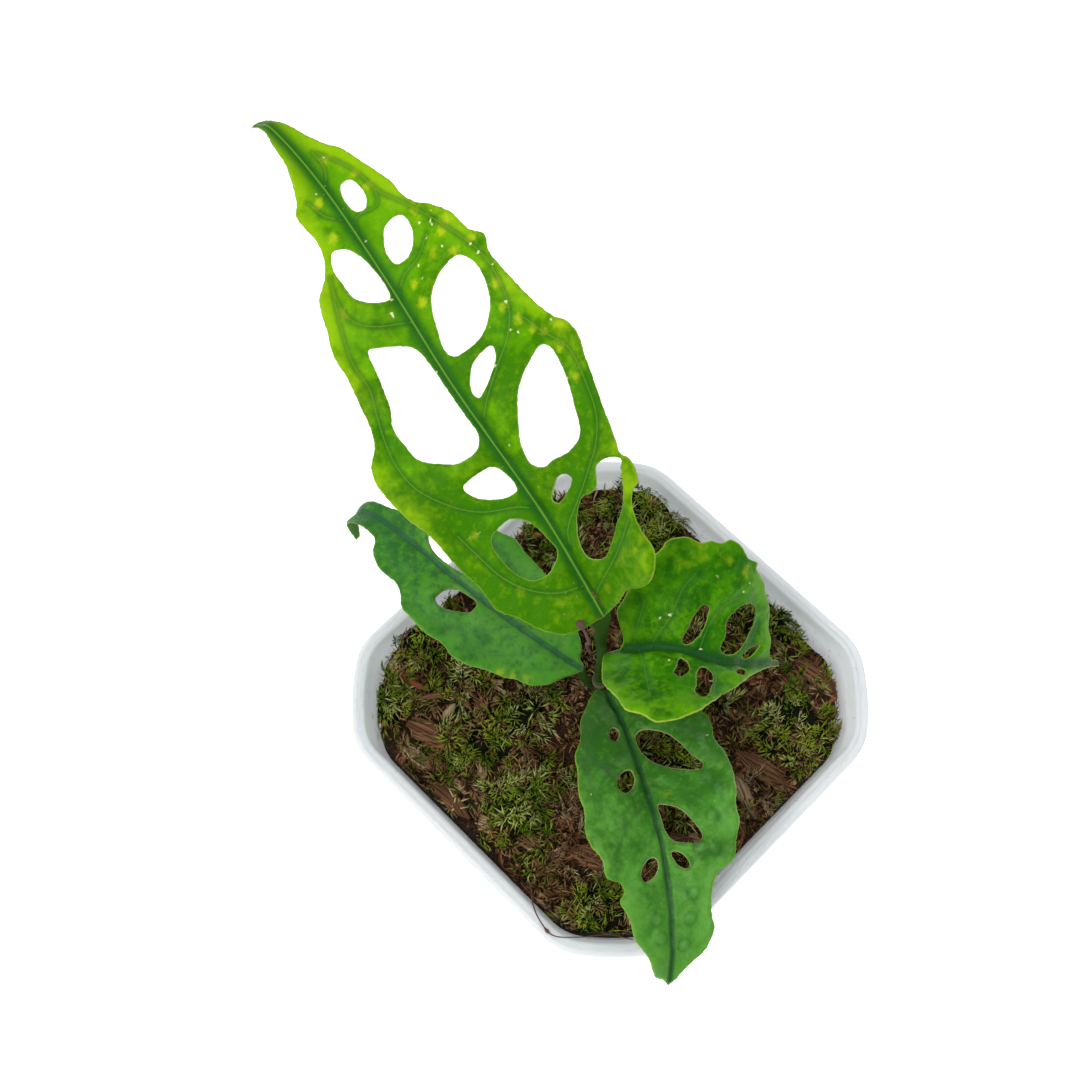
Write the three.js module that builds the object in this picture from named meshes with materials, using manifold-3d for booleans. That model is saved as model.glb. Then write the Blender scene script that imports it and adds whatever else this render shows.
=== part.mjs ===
// A potted monstera obliqua: a square nursery pot of growing mix with moss and husk on it, and a young plant of
// four holed leaves on a short stem. Millimetres, +Z up. The origin is the middle of the underside of the pot,
// which stands on its base with its flat sides along X and Y.

import * as THREE from 'three';
import { mergeVertices } from 'three/addons/utils/BufferGeometryUtils.js';
import Module from 'manifold-3d';

const wasm = await Module();
wasm.setup();

// Pot
const potTop = 100;
const potBase = 68;
const potHeight = 85;
const cornerReach = 0.596;
const shoulderRadius = 0.14;
const wall = 1.3;
const lipHeight = 4;
const lipReach = 1.8;
const drainRadius = 4;
const drainSpread = 17;

// Growing mix
const gap = 0.3;
const mixTop = 78;
const mixLump = 1.1;
const mixRise = 0.047;
const huskBits = 44;
const stemHoleRadius = 2.9;
const stemHoleDepth = 10;

// Stem
const stemFoot = [-0.4, 2.5, mixTop - stemHoleDepth + 1];
const stemTip = [-0.6, 3, 93];
const stemRadius = 1.6;

// Blades
const bladeThickness = 0.8;
const marginStep = 2.6;
const latticeStep = 6;
const ribDepth = 0.9;

const potWhite = { color: 0xecebe9, roughness: 0.45 };
const mixBrown = { color: 0x4f3524, roughness: 0.95 };
const huskBrown = { color: 0x7d5a44, roughness: 0.9 };
const huskPale = { color: 0xb59a80, roughness: 0.9 };
const stickRed = { color: 0x6e2f22, roughness: 0.8 };
const mossGreen = { color: 0x6c7f1c, roughness: 0.95 };
const leafBright = { color: 0x4f9a0c, roughness: 0.4 };
const leafMid = { color: 0x2f8420, roughness: 0.4 };
const leafDark = { color: 0x216b2e, roughness: 0.4 };
const stemGreen = { color: 0x2c5a22, roughness: 0.5 };
const driedBrown = { color: 0x6b3b33, roughness: 0.8 };

const plant = new THREE.Group();

function addMesh(name, geometry, look) {
  const mesh = new THREE.Mesh(geometry, new THREE.MeshStandardMaterial({ ...look, metalness: 0 }));
  mesh.name = name;
  plant.add(mesh);
}

// Seeded draws between two limits, the same on every run.
function draws(seed) {
  let state = seed;
  return (low, high) => {
    state = (state * 16807) % 2147483647;
    return low + ((high - low) * state) / 2147483647;
  };
}

// A value that eases from one station [place, value] to the next.
function eased(stations, place) {
  const last = stations.length - 1;
  if (place <= stations[0][0]) return stations[0][1];
  if (place >= stations[last][0]) return stations[last][1];
  const next = stations.findIndex(([at]) => at > place);
  const [low, from] = stations[next - 1];
  const [high, to] = stations[next];
  return from + (to - from) * THREE.MathUtils.smoothstep(place, low, high);
}

function vector([x, y, z]) {
  return new THREE.Vector3(x, y, z);
}

function curveThrough(points) {
  return new THREE.CatmullRomCurve3(points.map(vector), false, 'catmullrom', 0.5);
}

function triangleMesh(positions, index) {
  const geometry = new THREE.BufferGeometry();
  geometry.setAttribute('position', new THREE.Float32BufferAttribute(positions, 3));
  geometry.setIndex(index);
  geometry.computeVertexNormals();
  return geometry;
}

function solidOf(geometry) {
  const bare = geometry.clone();
  bare.deleteAttribute('normal');
  bare.deleteAttribute('uv');
  const merged = mergeVertices(bare, 1e-4);
  return new wasm.Manifold(new wasm.Mesh({
    numProp: 3,
    vertProperties: Float32Array.from(merged.attributes.position.array),
    triVerts: Uint32Array.from(merged.index.array),
  }));
}

function geometryOf(solid) {
  const mesh = solid.getMesh();
  return triangleMesh(Array.from(mesh.vertProperties), Array.from(mesh.triVerts));
}

function arc(x, y, radius, from, to, steps) {
  const points = [];
  for (let step = 0; step <= steps; step += 1) {
    const angle = from + ((to - from) * step) / steps;
    points.push([x + radius * Math.cos(angle), y + radius * Math.sin(angle)]);
  }
  return points;
}

// The pot seen from above: a square whose corners are each a wide arc about the middle between two tight
// shoulders. The points run anticlockwise, all set in by the same amount.
function potOutline(side, inset) {
  const reach = side * cornerReach - inset;
  const shoulder = side * shoulderRadius - inset;
  const across = side / 2 - inset - shoulder;
  const along = Math.sqrt((reach - shoulder) ** 2 - across ** 2);
  const bend = Math.atan2(along, across);
  const right = Math.PI / 2;
  const quarter = [
    ...arc(across, along, shoulder, 0, bend, 4),
    ...arc(0, 0, reach, bend, right - bend, 2).slice(1, -1),
    ...arc(along, across, shoulder, right - bend, right, 4),
    [0, across + shoulder],
  ];
  const turns = [[1, 0], [0, 1], [-1, 0], [0, -1]];
  return turns.flatMap(([c, s]) => quarter.map(([x, y]) => [x * c - y * s, x * s + y * c]));
}

// A closed skin over rings of equal count, from the lowest outside to the last, with both ends filled.
function skin(rings) {
  const count = rings[0].length;
  const positions = rings.flat(2);
  const index = [];
  for (let ring = 0; ring < rings.length - 1; ring += 1) {
    for (let step = 0; step < count; step += 1) {
      const next = (step + 1) % count;
      const [a, b] = [ring * count + step, ring * count + next];
      index.push(a, b, b + count, a, b + count, a + count);
    }
  }
  const ends = [rings[0], rings[rings.length - 1]];
  ends.forEach((ring, end) => {
    const middle = [0, 1, 2].map((axis) => ring.reduce((sum, point) => sum + point[axis], 0) / count);
    const centre = positions.length / 3;
    const first = end === 0 ? 0 : (rings.length - 1) * count;
    positions.push(...middle);
    for (let step = 0; step < count; step += 1) {
      const [a, b] = [first + step, first + ((step + 1) % count)];
      index.push(...(end === 0 ? [centre, b, a] : [centre, a, b]));
    }
  });
  return triangleMesh(positions, index);
}

// A tube that tapers along its path, by stations [part of the length, radius across, radius the other way].
function taperedTube(path, sizes, across, sides, steps) {
  const curve = curveThrough(path);
  const wide = sizes.map(([at, radius]) => [at, radius]);
  const thick = sizes.map(([at, radius, other]) => [at, other ?? radius]);
  const rings = [];
  for (let step = 0; step <= steps; step += 1) {
    const part = step / steps;
    const along = curve.getTangentAt(part);
    const sideways = vector(across).addScaledVector(along, -along.dot(vector(across))).normalize();
    const other = along.clone().cross(sideways);
    const centre = curve.getPointAt(part);
    const ring = [];
    for (let turn = 0; turn < sides; turn += 1) {
      const angle = (turn / sides) * 2 * Math.PI;
      const point = centre.clone()
        .addScaledVector(sideways, eased(wide, part) * Math.cos(angle))
        .addScaledVector(other, eased(thick, part) * Math.sin(angle));
      ring.push(point.toArray());
    }
    rings.push(ring);
  }
  return skin(rings);
}

// Pot: the sides, the lip that rolls out over them, and the inside, as one run of level rings.

function potRing(side, inset, z) {
  return potOutline(side, inset).map(([x, y]) => [x, y, z]);
}

function sideAt(z) {
  return potBase + ((potTop - 2 * lipReach - potBase) * z) / potHeight;
}

function makePot() {
  const underLip = potHeight - lipHeight;
  const bead = 0.8;
  const rings = [
    potRing(potBase, 1, 0),
    potRing(sideAt(1), 0, 1),
    potRing(sideAt(underLip), 0, underLip),
    potRing(potTop, bead / 2, underLip),
    potRing(potTop, 0, underLip + bead),
    potRing(potTop, 0, potHeight - bead),
    potRing(potTop, bead, potHeight),
    potRing(potTop, lipReach + wall - bead, potHeight),
    potRing(potTop, lipReach + wall - 0.1, potHeight - bead),
    potRing(sideAt(potHeight - 1.2), wall, potHeight - 1.2),
    potRing(sideAt(wall), wall, wall),
  ];
  let pot = solidOf(skin(rings));
  const spots = [[1, 1], [-1, 1], [-1, -1], [1, -1]];
  spots.forEach(([x, y]) => {
    const hole = new THREE.CylinderGeometry(drainRadius, drainRadius, 4 * wall, 20);
    hole.rotateX(Math.PI / 2);
    hole.translate(x * drainSpread, y * drainSpread, 0);
    pot = pot.subtract(solidOf(hole));
  });
  return geometryOf(pot);
}

// Growing mix: fills the pot, with a lumpy top, husk bits sunk into it and a plain hole for the stem. The fill
// is heaped towards the back, most of all in the corner at +X and +Y.

function lumps(x, y) {
  const broad = Math.sin(x / 7.1 + 1) * Math.cos(y / 6.3);
  const small = Math.sin(x / 3.3 + y / 4.1) * Math.cos(y / 2.9 - x / 5.7);
  const heap = mixRise * (y + 24) * (1 + x / 110);
  return mixLump * (0.6 * broad + 0.4 * small) + heap;
}

function mixRing(part, inset, z) {
  return potOutline(sideAt(mixTop) * part, inset).map(([x, y]) => [x, y, z + lumps(x, y)]);
}

function makePlainMix() {
  const floor = wall + gap;
  const rings = [floor, mixTop - 3.8].map((z) => potRing(sideAt(z), wall + gap, z));
  for (const part of [0.965, 0.86, 0.74, 0.62, 0.5, 0.38, 0.26, 0.14, 0.05]) {
    rings.push(mixRing(part, (wall + gap) * part, mixTop));
  }
  return solidOf(skin(rings));
}

// The space over the mix and inside the wall of the pot.
function makeRoom() {
  const low = mixTop - 5;
  return solidOf(skin([low, potHeight + 8].map((z) => potRing(sideAt(low), wall + gap, z))));
}

// The main body of a solid, without slivers that a cut has loosed or hollows shut up in it.
function mainBody(solid) {
  return solid.decompose().reduce((most, body) => (body.volume() > most.volume() ? body : most));
}

// What lies on the mix is cut to its surface, a hair above it.
function seated(solid) {
  return mainBody(solid.subtract(plainMix.translate(0, 0, gap)).intersect(room));
}

function makeMix(isTaken) {
  const draw = draws(22);
  const bits = [];
  while (bits.length < huskBits) {
    const x = draw(-41, 41);
    const y = draw(-41, 41);
    const husk = new THREE.BoxGeometry(draw(4, 9), draw(1.6, 3.2), draw(1.2, 2.4));
    husk.rotateX(draw(-0.5, 0.5));
    husk.rotateY(draw(-0.4, 0.4));
    husk.rotateZ(draw(0, Math.PI));
    husk.translate(x, y, mixTop + lumps(x, y) + draw(-0.3, 0.4));
    if (!isTaken(x, y, 5)) bits.push(solidOf(husk).intersect(room));
  }
  const hole = new THREE.CylinderGeometry(stemHoleRadius, stemHoleRadius, 2 * stemHoleDepth, 16);
  hole.rotateX(Math.PI / 2);
  hole.translate(stemFoot[0], stemFoot[1], mixTop);
  return mainBody(bits.reduce((mix, bit) => mix.add(bit), plainMix).subtract(solidOf(hole)));
}

const plainMix = makePlainMix();
const room = makeRoom();

// Moss: low lumpy cushions with short shoots that lean out from them.
const mossCushions = [
  { name: 'moss_left', at: [-37.5, 36.8], reach: [5.2, 5], shoots: 10 },
  { name: 'moss_middle', at: [-20, 13], reach: [11, 5.5], shoots: 16 },
  { name: 'moss_near', at: [-32, -2], reach: [6, 6.5], shoots: 10 },
  { name: 'moss_corner', at: [-36, -33], reach: [8, 7], shoots: 12 },
  { name: 'moss_under_leaf', at: [-3, -16], reach: [9, 7], shoots: 12 },
  { name: 'moss_right', at: [26, -34], reach: [9, 9], shoots: 16 },
  { name: 'moss_wall', at: [40, -12], reach: [5, 8], shoots: 10 },
  { name: 'moss_back', at: [38.5, 25], reach: [6.5, 11], shoots: 14 },
  { name: 'moss_top', at: [-21.5, 41.6], reach: [5.5, 4.6], shoots: 10 },
];
const mossHeight = 3.6;
const shootLength = 5;

function makeMoss({ at, reach, shoots }, seed) {
  const draw = draws(seed);
  const [x, y] = at;
  const foot = mixTop + lumps(x, y);
  const dome = new THREE.SphereGeometry(1, 14, 8);
  dome.rotateX(Math.PI / 2);
  const spots = dome.attributes.position;
  for (let spot = 0; spot < spots.count; spot += 1) {
    const turn = Math.atan2(spots.getY(spot), spots.getX(spot));
    const swell = 1 + 0.09 * Math.sin(3 * turn + seed) + 0.06 * Math.sin(5 * turn);
    const [dx, dy] = [spots.getX(spot) * reach[0] * swell, spots.getY(spot) * reach[1] * swell];
    spots.setXYZ(spot, x + dx, y + dy, foot + spots.getZ(spot) * mossHeight);
  }
  let moss = solidOf(dome);
  for (let shoot = 0; shoot < shoots; shoot += 1) {
    const turn = draw(0, 2 * Math.PI);
    const out = Math.sqrt(draw(0.02, 0.7));
    const cone = new THREE.ConeGeometry(0.9, shootLength, 4);
    cone.translate(0, shootLength * 0.3, 0);
    cone.rotateX(Math.PI / 2);
    cone.rotateY(0.7 * out);
    cone.rotateZ(turn);
    const lift = mossHeight * Math.sqrt(1 - out * out);
    cone.translate(x + reach[0] * out * Math.cos(turn), y + reach[1] * out * Math.sin(turn), foot + lift);
    moss = moss.add(solidOf(cone));
  }
  return moss;
}

// Loose husk: flat torn chips, sticks and one bent old root, each a tapered piece that lies on the mix.
const looseHusk = [
  { name: 'husk_chip_1', path: [[-37, 29.4], [-33.6, 19.6]], reach: 2.2, look: huskBrown },
  { name: 'husk_chip_2', path: [[-41.5, 26], [-40.5, 18]], reach: 1.4, look: huskPale },
  { name: 'husk_chip_3', path: [[-42, 15], [-42.5, 3]], reach: 1.6, look: huskBrown },
  { name: 'husk_chip_4', path: [[-31, -18], [-27, -27]], reach: 2, look: huskBrown },
  { name: 'husk_chip_5', path: [[30, -19], [22, -14]], reach: 1.9, look: huskBrown },
  { name: 'husk_chip_6', path: [[12, -29], [15, -43]], reach: 2.1, look: huskBrown },
  { name: 'husk_chip_7', path: [[8, -32], [4, -43]], reach: 1.5, look: huskPale },
  { name: 'husk_chip_8', path: [[39, -24], [39.5, -36]], reach: 1.9, look: huskBrown },
  { name: 'husk_chip_9', path: [[20, 36], [29, 39]], reach: 1.9, look: huskBrown },
  { name: 'husk_chip_10', path: [[-18, -30], [-10, -36]], reach: 1.9, look: huskBrown },
  { name: 'husk_chip_11', path: [[11, 18], [4, 23]], reach: 1.9, look: huskBrown },
  { name: 'red_stick', path: [[-30.4, 41], [-29.8, 36], [-28.6, 31.2]], reach: 0.9, look: stickRed },
  { name: 'pale_stick', path: [[-30.6, 24.2], [-26, 24.5]], reach: 0.9, look: huskPale },
  { name: 'old_root', path: [[-32, 31.6], [-26.4, 27.8], [-24.2, 24.5], [-24.8, 20]], reach: 0.8, look: huskBrown },
];

function makeLoose({ path, reach }) {
  const raised = path.map(([x, y]) => [x, y, mixTop + lumps(x, y) + 0.6 * reach]);
  const flat = Math.max(0.55 * reach, 0.7);
  const sizes = [[0, 0.5 * reach, 0.6 * flat], [0.3, reach, flat], [0.75, 0.9 * reach, flat],
    [1, 0.3 * reach, 0.5 * flat]];
  return solidOf(taperedTube(raised, sizes, [0.6, 0.8, 0], 6, 3 * (path.length - 1)));
}

// Leaves. The rib is a curve through its points. A blade is laid out flat by two measures: along the rib from
// its base, and out from it, with the left half below zero. Each half folds up from the rib by an angle that
// eases along it, and its margin waves.
const leaves = [
  {
    name: 'leaf_large',
    look: leafBright,
    rib: [[-5, 0, 148], [-0.5, 22, 157], [3.5, 50.5, 166], [9, 75, 170.5], [14, 98, 172], [17, 117, 170],
      [17, 124, 166], [16, 125.5, 162.5]],
    face: [-0.3, -0.3, 1],
    leftFold: [[0, 12], [60, 8], [134, 4]],
    rightFold: [[0, 52], [30, 36], [60, 10], [134, 10]],
    wave: { height: 0.6, length: 23, reach: 24 },
    leftMargin: [[0, 0], [1, -6.5], [2.5, -9.5], [6.5, -13], [10, -15], [14, -18], [19, -18.5], [25, -20],
      [33.5, -21], [38, -22.5], [44, -23.5], [47.5, -23.5], [50.5, -22.5], [53, -20], [56, -18.5],
      [63, -17.5], [68, -17], [73, -17], [78, -15.5], [82, -14.5], [84.5, -13.5], [86.5, -11.5],
      [88, -10], [92, -8], [96, -7.5], [100, -8], [102.5, -8], [105.5, -6.2], [110.5, -4.3], [115, -3],
      [120, -2.5], [125, -1.5], [133, -0.8]],
    rightMargin: [[0, 0], [1, 6], [2.5, 11], [1.5, 14.5], [2, 18.5], [4, 21], [6.5, 22.5], [11, 21],
      [14.5, 20.8], [17.5, 22.3], [18.5, 24.5], [20.5, 25], [23, 24.5], [24.4, 23.3], [27, 23.9],
      [31, 25], [35, 25.8], [39, 26.3], [43, 26.5], [47.5, 27], [51, 26], [53, 24.5], [57, 23],
      [61.5, 22], [67, 21], [71, 20.5], [74.5, 21.5], [77.5, 19.5], [82.5, 18.5], [86.5, 16], [89, 13.7],
      [92, 12.3], [95.5, 12], [100.5, 10.5], [105.5, 9], [109, 8], [112.5, 6], [117.5, 4.2], [122.5, 3],
      [126.5, 1.8], [133, 0.8]],
    holes: [
      [[102.5, 3], [102.5, 5], [100.5, 6], [97, 6], [95, 4.5], [96, 2.5], [99.5, 2]],
      [[89, 5.5], [89.5, 8], [88.5, 10], [85, 10], [82.5, 8.5], [81, 6], [81.5, 3.5], [84.5, 3], [87, 4]],
      [[91.5, -6], [90.5, -3.5], [85.5, -1.3], [76.5, -1.5], [80, -7], [85.5, -7.8], [88.5, -7.8]],
      [[72.5, 7], [74.5, 11], [74.5, 15], [70.5, 17], [64.5, 16], [61.5, 14], [59, 10.5], [58.5, 7.5],
        [59, 3.5], [61, 2.5], [65.5, 3.5], [70, 5]],
      [[52.5, 3], [55.5, 5.8], [56.3, 9], [56, 11], [54, 10.5], [51.5, 7.5], [49.5, 3], [51, 2.5]],
      [[70, -10.5], [69, -8], [67, -4.5], [65, -2.4], [61, -1.6], [54.5, -1.4], [49, -1.4], [43.5, -1.6],
        [41.5, -3.5], [41.5, -8], [43.5, -11], [46.5, -14], [50, -14.5], [54.5, -14.5], [57.5, -13],
        [64.5, -11.5]],
      [[46, 11], [49, 16], [50, 19.5], [48.5, 20.8], [42, 21], [37, 20], [32, 18], [30.5, 14], [31, 9],
        [31, 6.5], [33, 4.5], [37, 5], [40.5, 7]],
      [[37, -10], [37.5, -6.5], [37, -3], [34.5, -1.6], [30.5, -1.6], [30.5, -4], [32, -7], [34.5, -9.5]],
      [[26.3, 5.5], [27.7, 8], [27.3, 10], [26, 10.6], [25, 9.5], [23.7, 6], [23.7, 4.5], [25, 4]],
      [[25, 17], [25.3, 19], [23.6, 22.8], [21.5, 22], [16, 18.3], [14.5, 16], [11.5, 12], [10, 8.5],
        [12, 4.5], [16.5, 5], [21.7, 10], [21.8, 14.5]],
      [[26.7, -6.5], [26, -5], [23.5, -3], [20, -2], [16, -1.5], [14.5, -3], [13.5, -6], [14.5, -9],
        [17.5, -11], [22, -12], [25.5, -11.5], [26.5, -9]],
    ],
    petiole: {
      path: [[-0.6, 3, 90], [-1.4, 2.6, 103], [-2.4, 1.7, 114], [-2.9, 2, 127], [-4.2, 1.1, 140],
        [-5, 1.2, 147.4]],
      sizes: [[0, 1.1], [0.5, 1.1], [0.8, 1.5, 1.2], [0.95, 2.3, 1], [1, 1.8, 0.9]],
    },
  },
  {
    name: 'leaf_left',
    look: leafDark,
    rib: [[-2.5, 5, 96], [-6, 16, 101], [-9.5, 34, 105], [-11, 55, 105], [-12, 66.3, 101.8],
      [-14.2, 70, 96.6], [-15.4, 68.2, 91.2]],
    face: [-0.15, 0, 1],
    leftFold: [[0, 14], [80, 14]],
    rightFold: [[0, 14], [80, 14]],
    wave: { height: 0.5, length: 17, reach: 14 },
    leftMargin: [[1.5, 0], [2, -1.2], [4.5, -4], [7, -7.5], [10.5, -10], [13.5, -10.7], [16.5, -12],
      [19.5, -12.7], [24, -14.5], [28, -15], [31, -14], [35.5, -14.5], [40, -14], [43, -13.5],
      [45, -11.5], [47.5, -10], [51, -10], [53.5, -9.5], [56.5, -7.5], [57.3, -6], [58.5, -4.7], [62, -4],
      [66, -3.6], [71, -2.5], [78.5, -0.7]],
    rightMargin: [[1.5, 0], [2, 1], [3.5, 1.8], [4.5, 3.8], [7.5, 6.5], [14, 10.5], [20.5, 13],
      [27, 14.5], [30, 15.5], [34, 14.5], [40, 13], [48, 10], [55, 5], [61, 3.2], [65, 3], [70, 2.2],
      [78.5, 0.7]],
    holes: [
      [[38, -7], [37.5, -4], [35.5, -2], [33, -1.4], [30, -1.4], [30, -4], [32, -5.5], [35.5, -7.3]],
      [[48, 4], [46, 2], [43, 1.4], [39, 1.6], [35, 2.5], [33, 5], [35, 8], [40, 9], [45, 8], [48, 6]],
    ],
    petiole: {
      path: [[-0.4, 2.6, 84], [-2.2, 4.4, 88], [-3, 5.7, 92.5], [-3.1, 6.9, 96.3]],
      sizes: [[0, 0.9], [0.7, 0.9], [1, 1, 0.8]],
    },
  },
  {
    name: 'leaf_folded',
    look: leafMid,
    rib: [[-1, -2, 124], [5, -9.5, 128.5], [9, -15.5, 127.5], [13, -20, 123.5], [18, -22.5, 117.5],
      [22.5, -24, 111], [26.5, -25, 105]],
    face: [0, 0, 1],
    leftFold: [[0, 30], [25, 30], [50, 20]],
    rightFold: [[0, 36], [25, 30], [50, 20]],
    wave: { height: 0.4, length: 15, reach: 22 },
    leftMargin: [[0, 0], [1.5, -2.5], [1.5, -5], [2, -8.5], [5.5, -12], [9.5, -18.5], [11.5, -20.5],
      [12.5, -23], [14.5, -24], [16, -23.2], [17.5, -24], [19, -23.8], [20, -25], [22, -24],
      [23.5, -22.5], [26.5, -22], [26.4, -21], [29, -19], [32, -16], [36, -12], [38, -8.5], [39.5, -5],
      [42.5, -2], [45, -1], [49, -0.7]],
    rightMargin: [[0, 0], [-1.7, 0.5], [-3.5, 1.5], [-3.5, 5], [-2, 11.5], [2.5, 16.5], [5, 20],
      [7.5, 21], [9.5, 23.5], [11, 23], [13, 20.5], [15.5, 16], [20.5, 10], [28, 4.7], [40, 1.3],
      [49, 0.7]],
    holes: [
      [[18.5, -10.5], [17.5, -10.5], [16, -8], [15, -5], [14, -2.5], [14, -1.5], [15, -1.5], [16.5, -3],
        [18, -5.5], [18.5, -9]],
      [[29, -13], [26, -13], [23.5, -10.5], [22.5, -8.5], [23, -5.5], [22.5, -2.5], [24.5, -1.7],
        [28, -3], [30, -6.5], [31, -10]],
      [[36, -4.3], [32.5, -3.7], [29.5, -1.7], [30.5, -1.2], [33.5, -1.8]],
      [[13, 3], [12, 6], [11.5, 8], [12, 9.3], [13, 8.5], [14, 6], [14, 4]],
      [[17.5, 4], [15.5, 6], [14.3, 11], [13.8, 14], [14.4, 15], [15.5, 13.5], [16.5, 11], [18, 8],
        [18.5, 5]],
      [[25.2, 4.2], [26.2, 2.4], [28.2, 1.6], [29.9, 1.6], [29.6, 2.5], [27.5, 3.6]],
    ],
    petiole: {
      path: [[-0.5, 2.8, 88], [1.6, 0.8, 98], [1.4, -1.6, 110], [0.2, -2.6, 119], [0.2, -3.4, 123.6]],
      sizes: [[0, 1], [0.7, 1.1], [0.93, 1.4, 1.1], [1, 1.2, 0.9]],
    },
  },
  {
    name: 'leaf_front',
    look: leafDark,
    rib: [[-3, -1, 97], [-8.5, -12.5, 103.5], [-18, -29, 108], [-26.5, -41.5, 107], [-35, -51, 104],
      [-41, -56, 99]],
    face: [0, 0, 1],
    leftFold: [[0, 10], [70, 8]],
    rightFold: [[0, 32], [70, 14]],
    wave: { height: 0.5, length: 14, reach: 17 },
    leftMargin: [[0, 0], [1, -4], [3, -8], [6, -11.5], [10, -15.5], [14.5, -17.8], [17.5, -18],
      [21, -17.4], [24.5, -18.7], [28.5, -19], [33.5, -18.2], [36, -17.4], [39.5, -17.3], [43, -15.7],
      [46.5, -14.5], [49, -10.5], [52.5, -9], [57, -8.6], [59.5, -9], [63.5, -7.2], [65.5, -5],
      [68, -2.5], [69.5, -1.5], [70.7, 0]],
    rightMargin: [[0, 0], [-0.5, 1.5], [4, 5.5], [8, 8], [12.5, 11], [17.5, 12.7], [21, 15], [25, 15.5],
      [30, 16.5], [33, 16], [37, 16.6], [39.5, 16], [42, 14.2], [46, 13.5], [47.5, 10.7], [49.5, 10],
      [51, 11.2], [54.5, 9.5], [59, 8.3], [63, 5.5], [68, 3.2], [69, 1.5], [70.7, 0]],
    holes: [
      [[14, 4.3], [12.7, 3], [13.6, 2], [15.3, 2.6], [16.6, 4], [15.9, 4.9]],
      [[27, 6.6], [24.7, 4.7], [23.8, 2.4], [25.5, 2], [28.2, 3.3], [29.4, 5.6], [29, 6.7]],
      [[15.5, -1.5], [14.3, -3], [14.8, -5.5], [17, -8.4], [20, -10.2], [23.3, -11.7], [25.7, -13.4],
        [26.7, -12.6], [26, -9.3], [24.2, -5.4], [21.5, -2.5], [18.7, -1.5]],
      [[32.6, -1.5], [33, -3.3], [34.5, -5.7], [37.3, -7.6], [40.7, -8.9], [42, -7.9], [41.4, -5],
        [40.6, -2.8], [38.3, -1.6], [35, -1.4]],
      [[43, -1.8], [43, -3], [44.4, -4.5], [46.6, -5.1], [46.6, -3.8], [45.2, -2.4]],
      [[45.5, 5.4], [43.9, 3.9], [43.5, 2.2], [44.6, 1.5], [46.8, 2.4], [48.1, 4.9], [47.3, 5.7]],
    ],
    petiole: {
      path: [[-0.4, 2.6, 80], [-1.8, 0.6, 86], [-3.2, -1, 92], [-3.8, -2.4, 97]],
      sizes: [[0, 0.9], [0.7, 1], [1, 1.1, 0.8]],
    },
  },
];

// The blade's middle surface: the point that lies so far along the rib and so far out from it.
function bladeSurface({ rib, face, leftFold, rightFold, wave }) {
  const curve = curveThrough(rib);
  const length = curve.getLength();
  const chord = vector(rib[rib.length - 1]).sub(vector(rib[0]));
  const side = chord.cross(vector(face)).normalize();
  return (along, out) => {
    const part = THREE.MathUtils.clamp(along / length, 0, 1);
    const heading = curve.getTangentAt(part);
    const up = side.clone().cross(heading).normalize();
    const fold = THREE.MathUtils.degToRad(eased(out < 0 ? leftFold : rightFold, along));
    const reach = Math.abs(out);
    const swing = Math.sin((2 * Math.PI * along) / wave.length + Math.sign(out));
    const ripple = wave.height * (reach / wave.reach) ** 2 * swing;
    return curve.getPointAt(part)
      .addScaledVector(heading, along - part * length)
      .addScaledVector(side, Math.cos(fold) * out)
      .addScaledVector(up, Math.sin(fold) * reach + ripple);
  };
}

function normalAt(surface, along, out) {
  const step = 0.4;
  const lengthwise = surface(along + step, out).sub(surface(along - step, out));
  const crosswise = surface(along, out + step).sub(surface(along, out - step));
  return crosswise.cross(lengthwise).normalize();
}

// Points at even steps on the smooth curve through an outline.
function evenly(outline, step, closed) {
  const curve = new THREE.CatmullRomCurve3(outline.map(([a, b]) => new THREE.Vector3(a, b, 0)), closed);
  const count = Math.max(6, Math.round(curve.getLength() / step));
  return curve.getSpacedPoints(count).slice(0, count).map(({ x, y }) => [x, y]);
}

function isInside([a, b], loop) {
  let inside = false;
  loop.forEach(([a1, b1], place) => {
    const [a2, b2] = loop[(place + 1) % loop.length];
    if ((b1 > b) !== (b2 > b) && a < a1 + ((a2 - a1) * (b - b1)) / (b2 - b1)) inside = !inside;
  });
  return inside;
}

// A triangle of three numbered points, with the circle through them.
function circled(points, corners) {
  const [a, b, c] = corners.map((corner) => points[corner]);
  const double = 2 * ((b[0] - a[0]) * (c[1] - a[1]) - (b[1] - a[1]) * (c[0] - a[0]));
  const [ab, ac] = [b, c].map((end) => (end[0] - a[0]) ** 2 + (end[1] - a[1]) ** 2);
  const x = ((c[1] - a[1]) * ab - (b[1] - a[1]) * ac) / double;
  const y = ((b[0] - a[0]) * ac - (c[0] - a[0]) * ab) / double;
  const wound = double < 0 ? corners : [corners[0], corners[2], corners[1]];
  return { corners: wound, x: a[0] + x, y: a[1] + y, reach: x * x + y * y };
}

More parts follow.
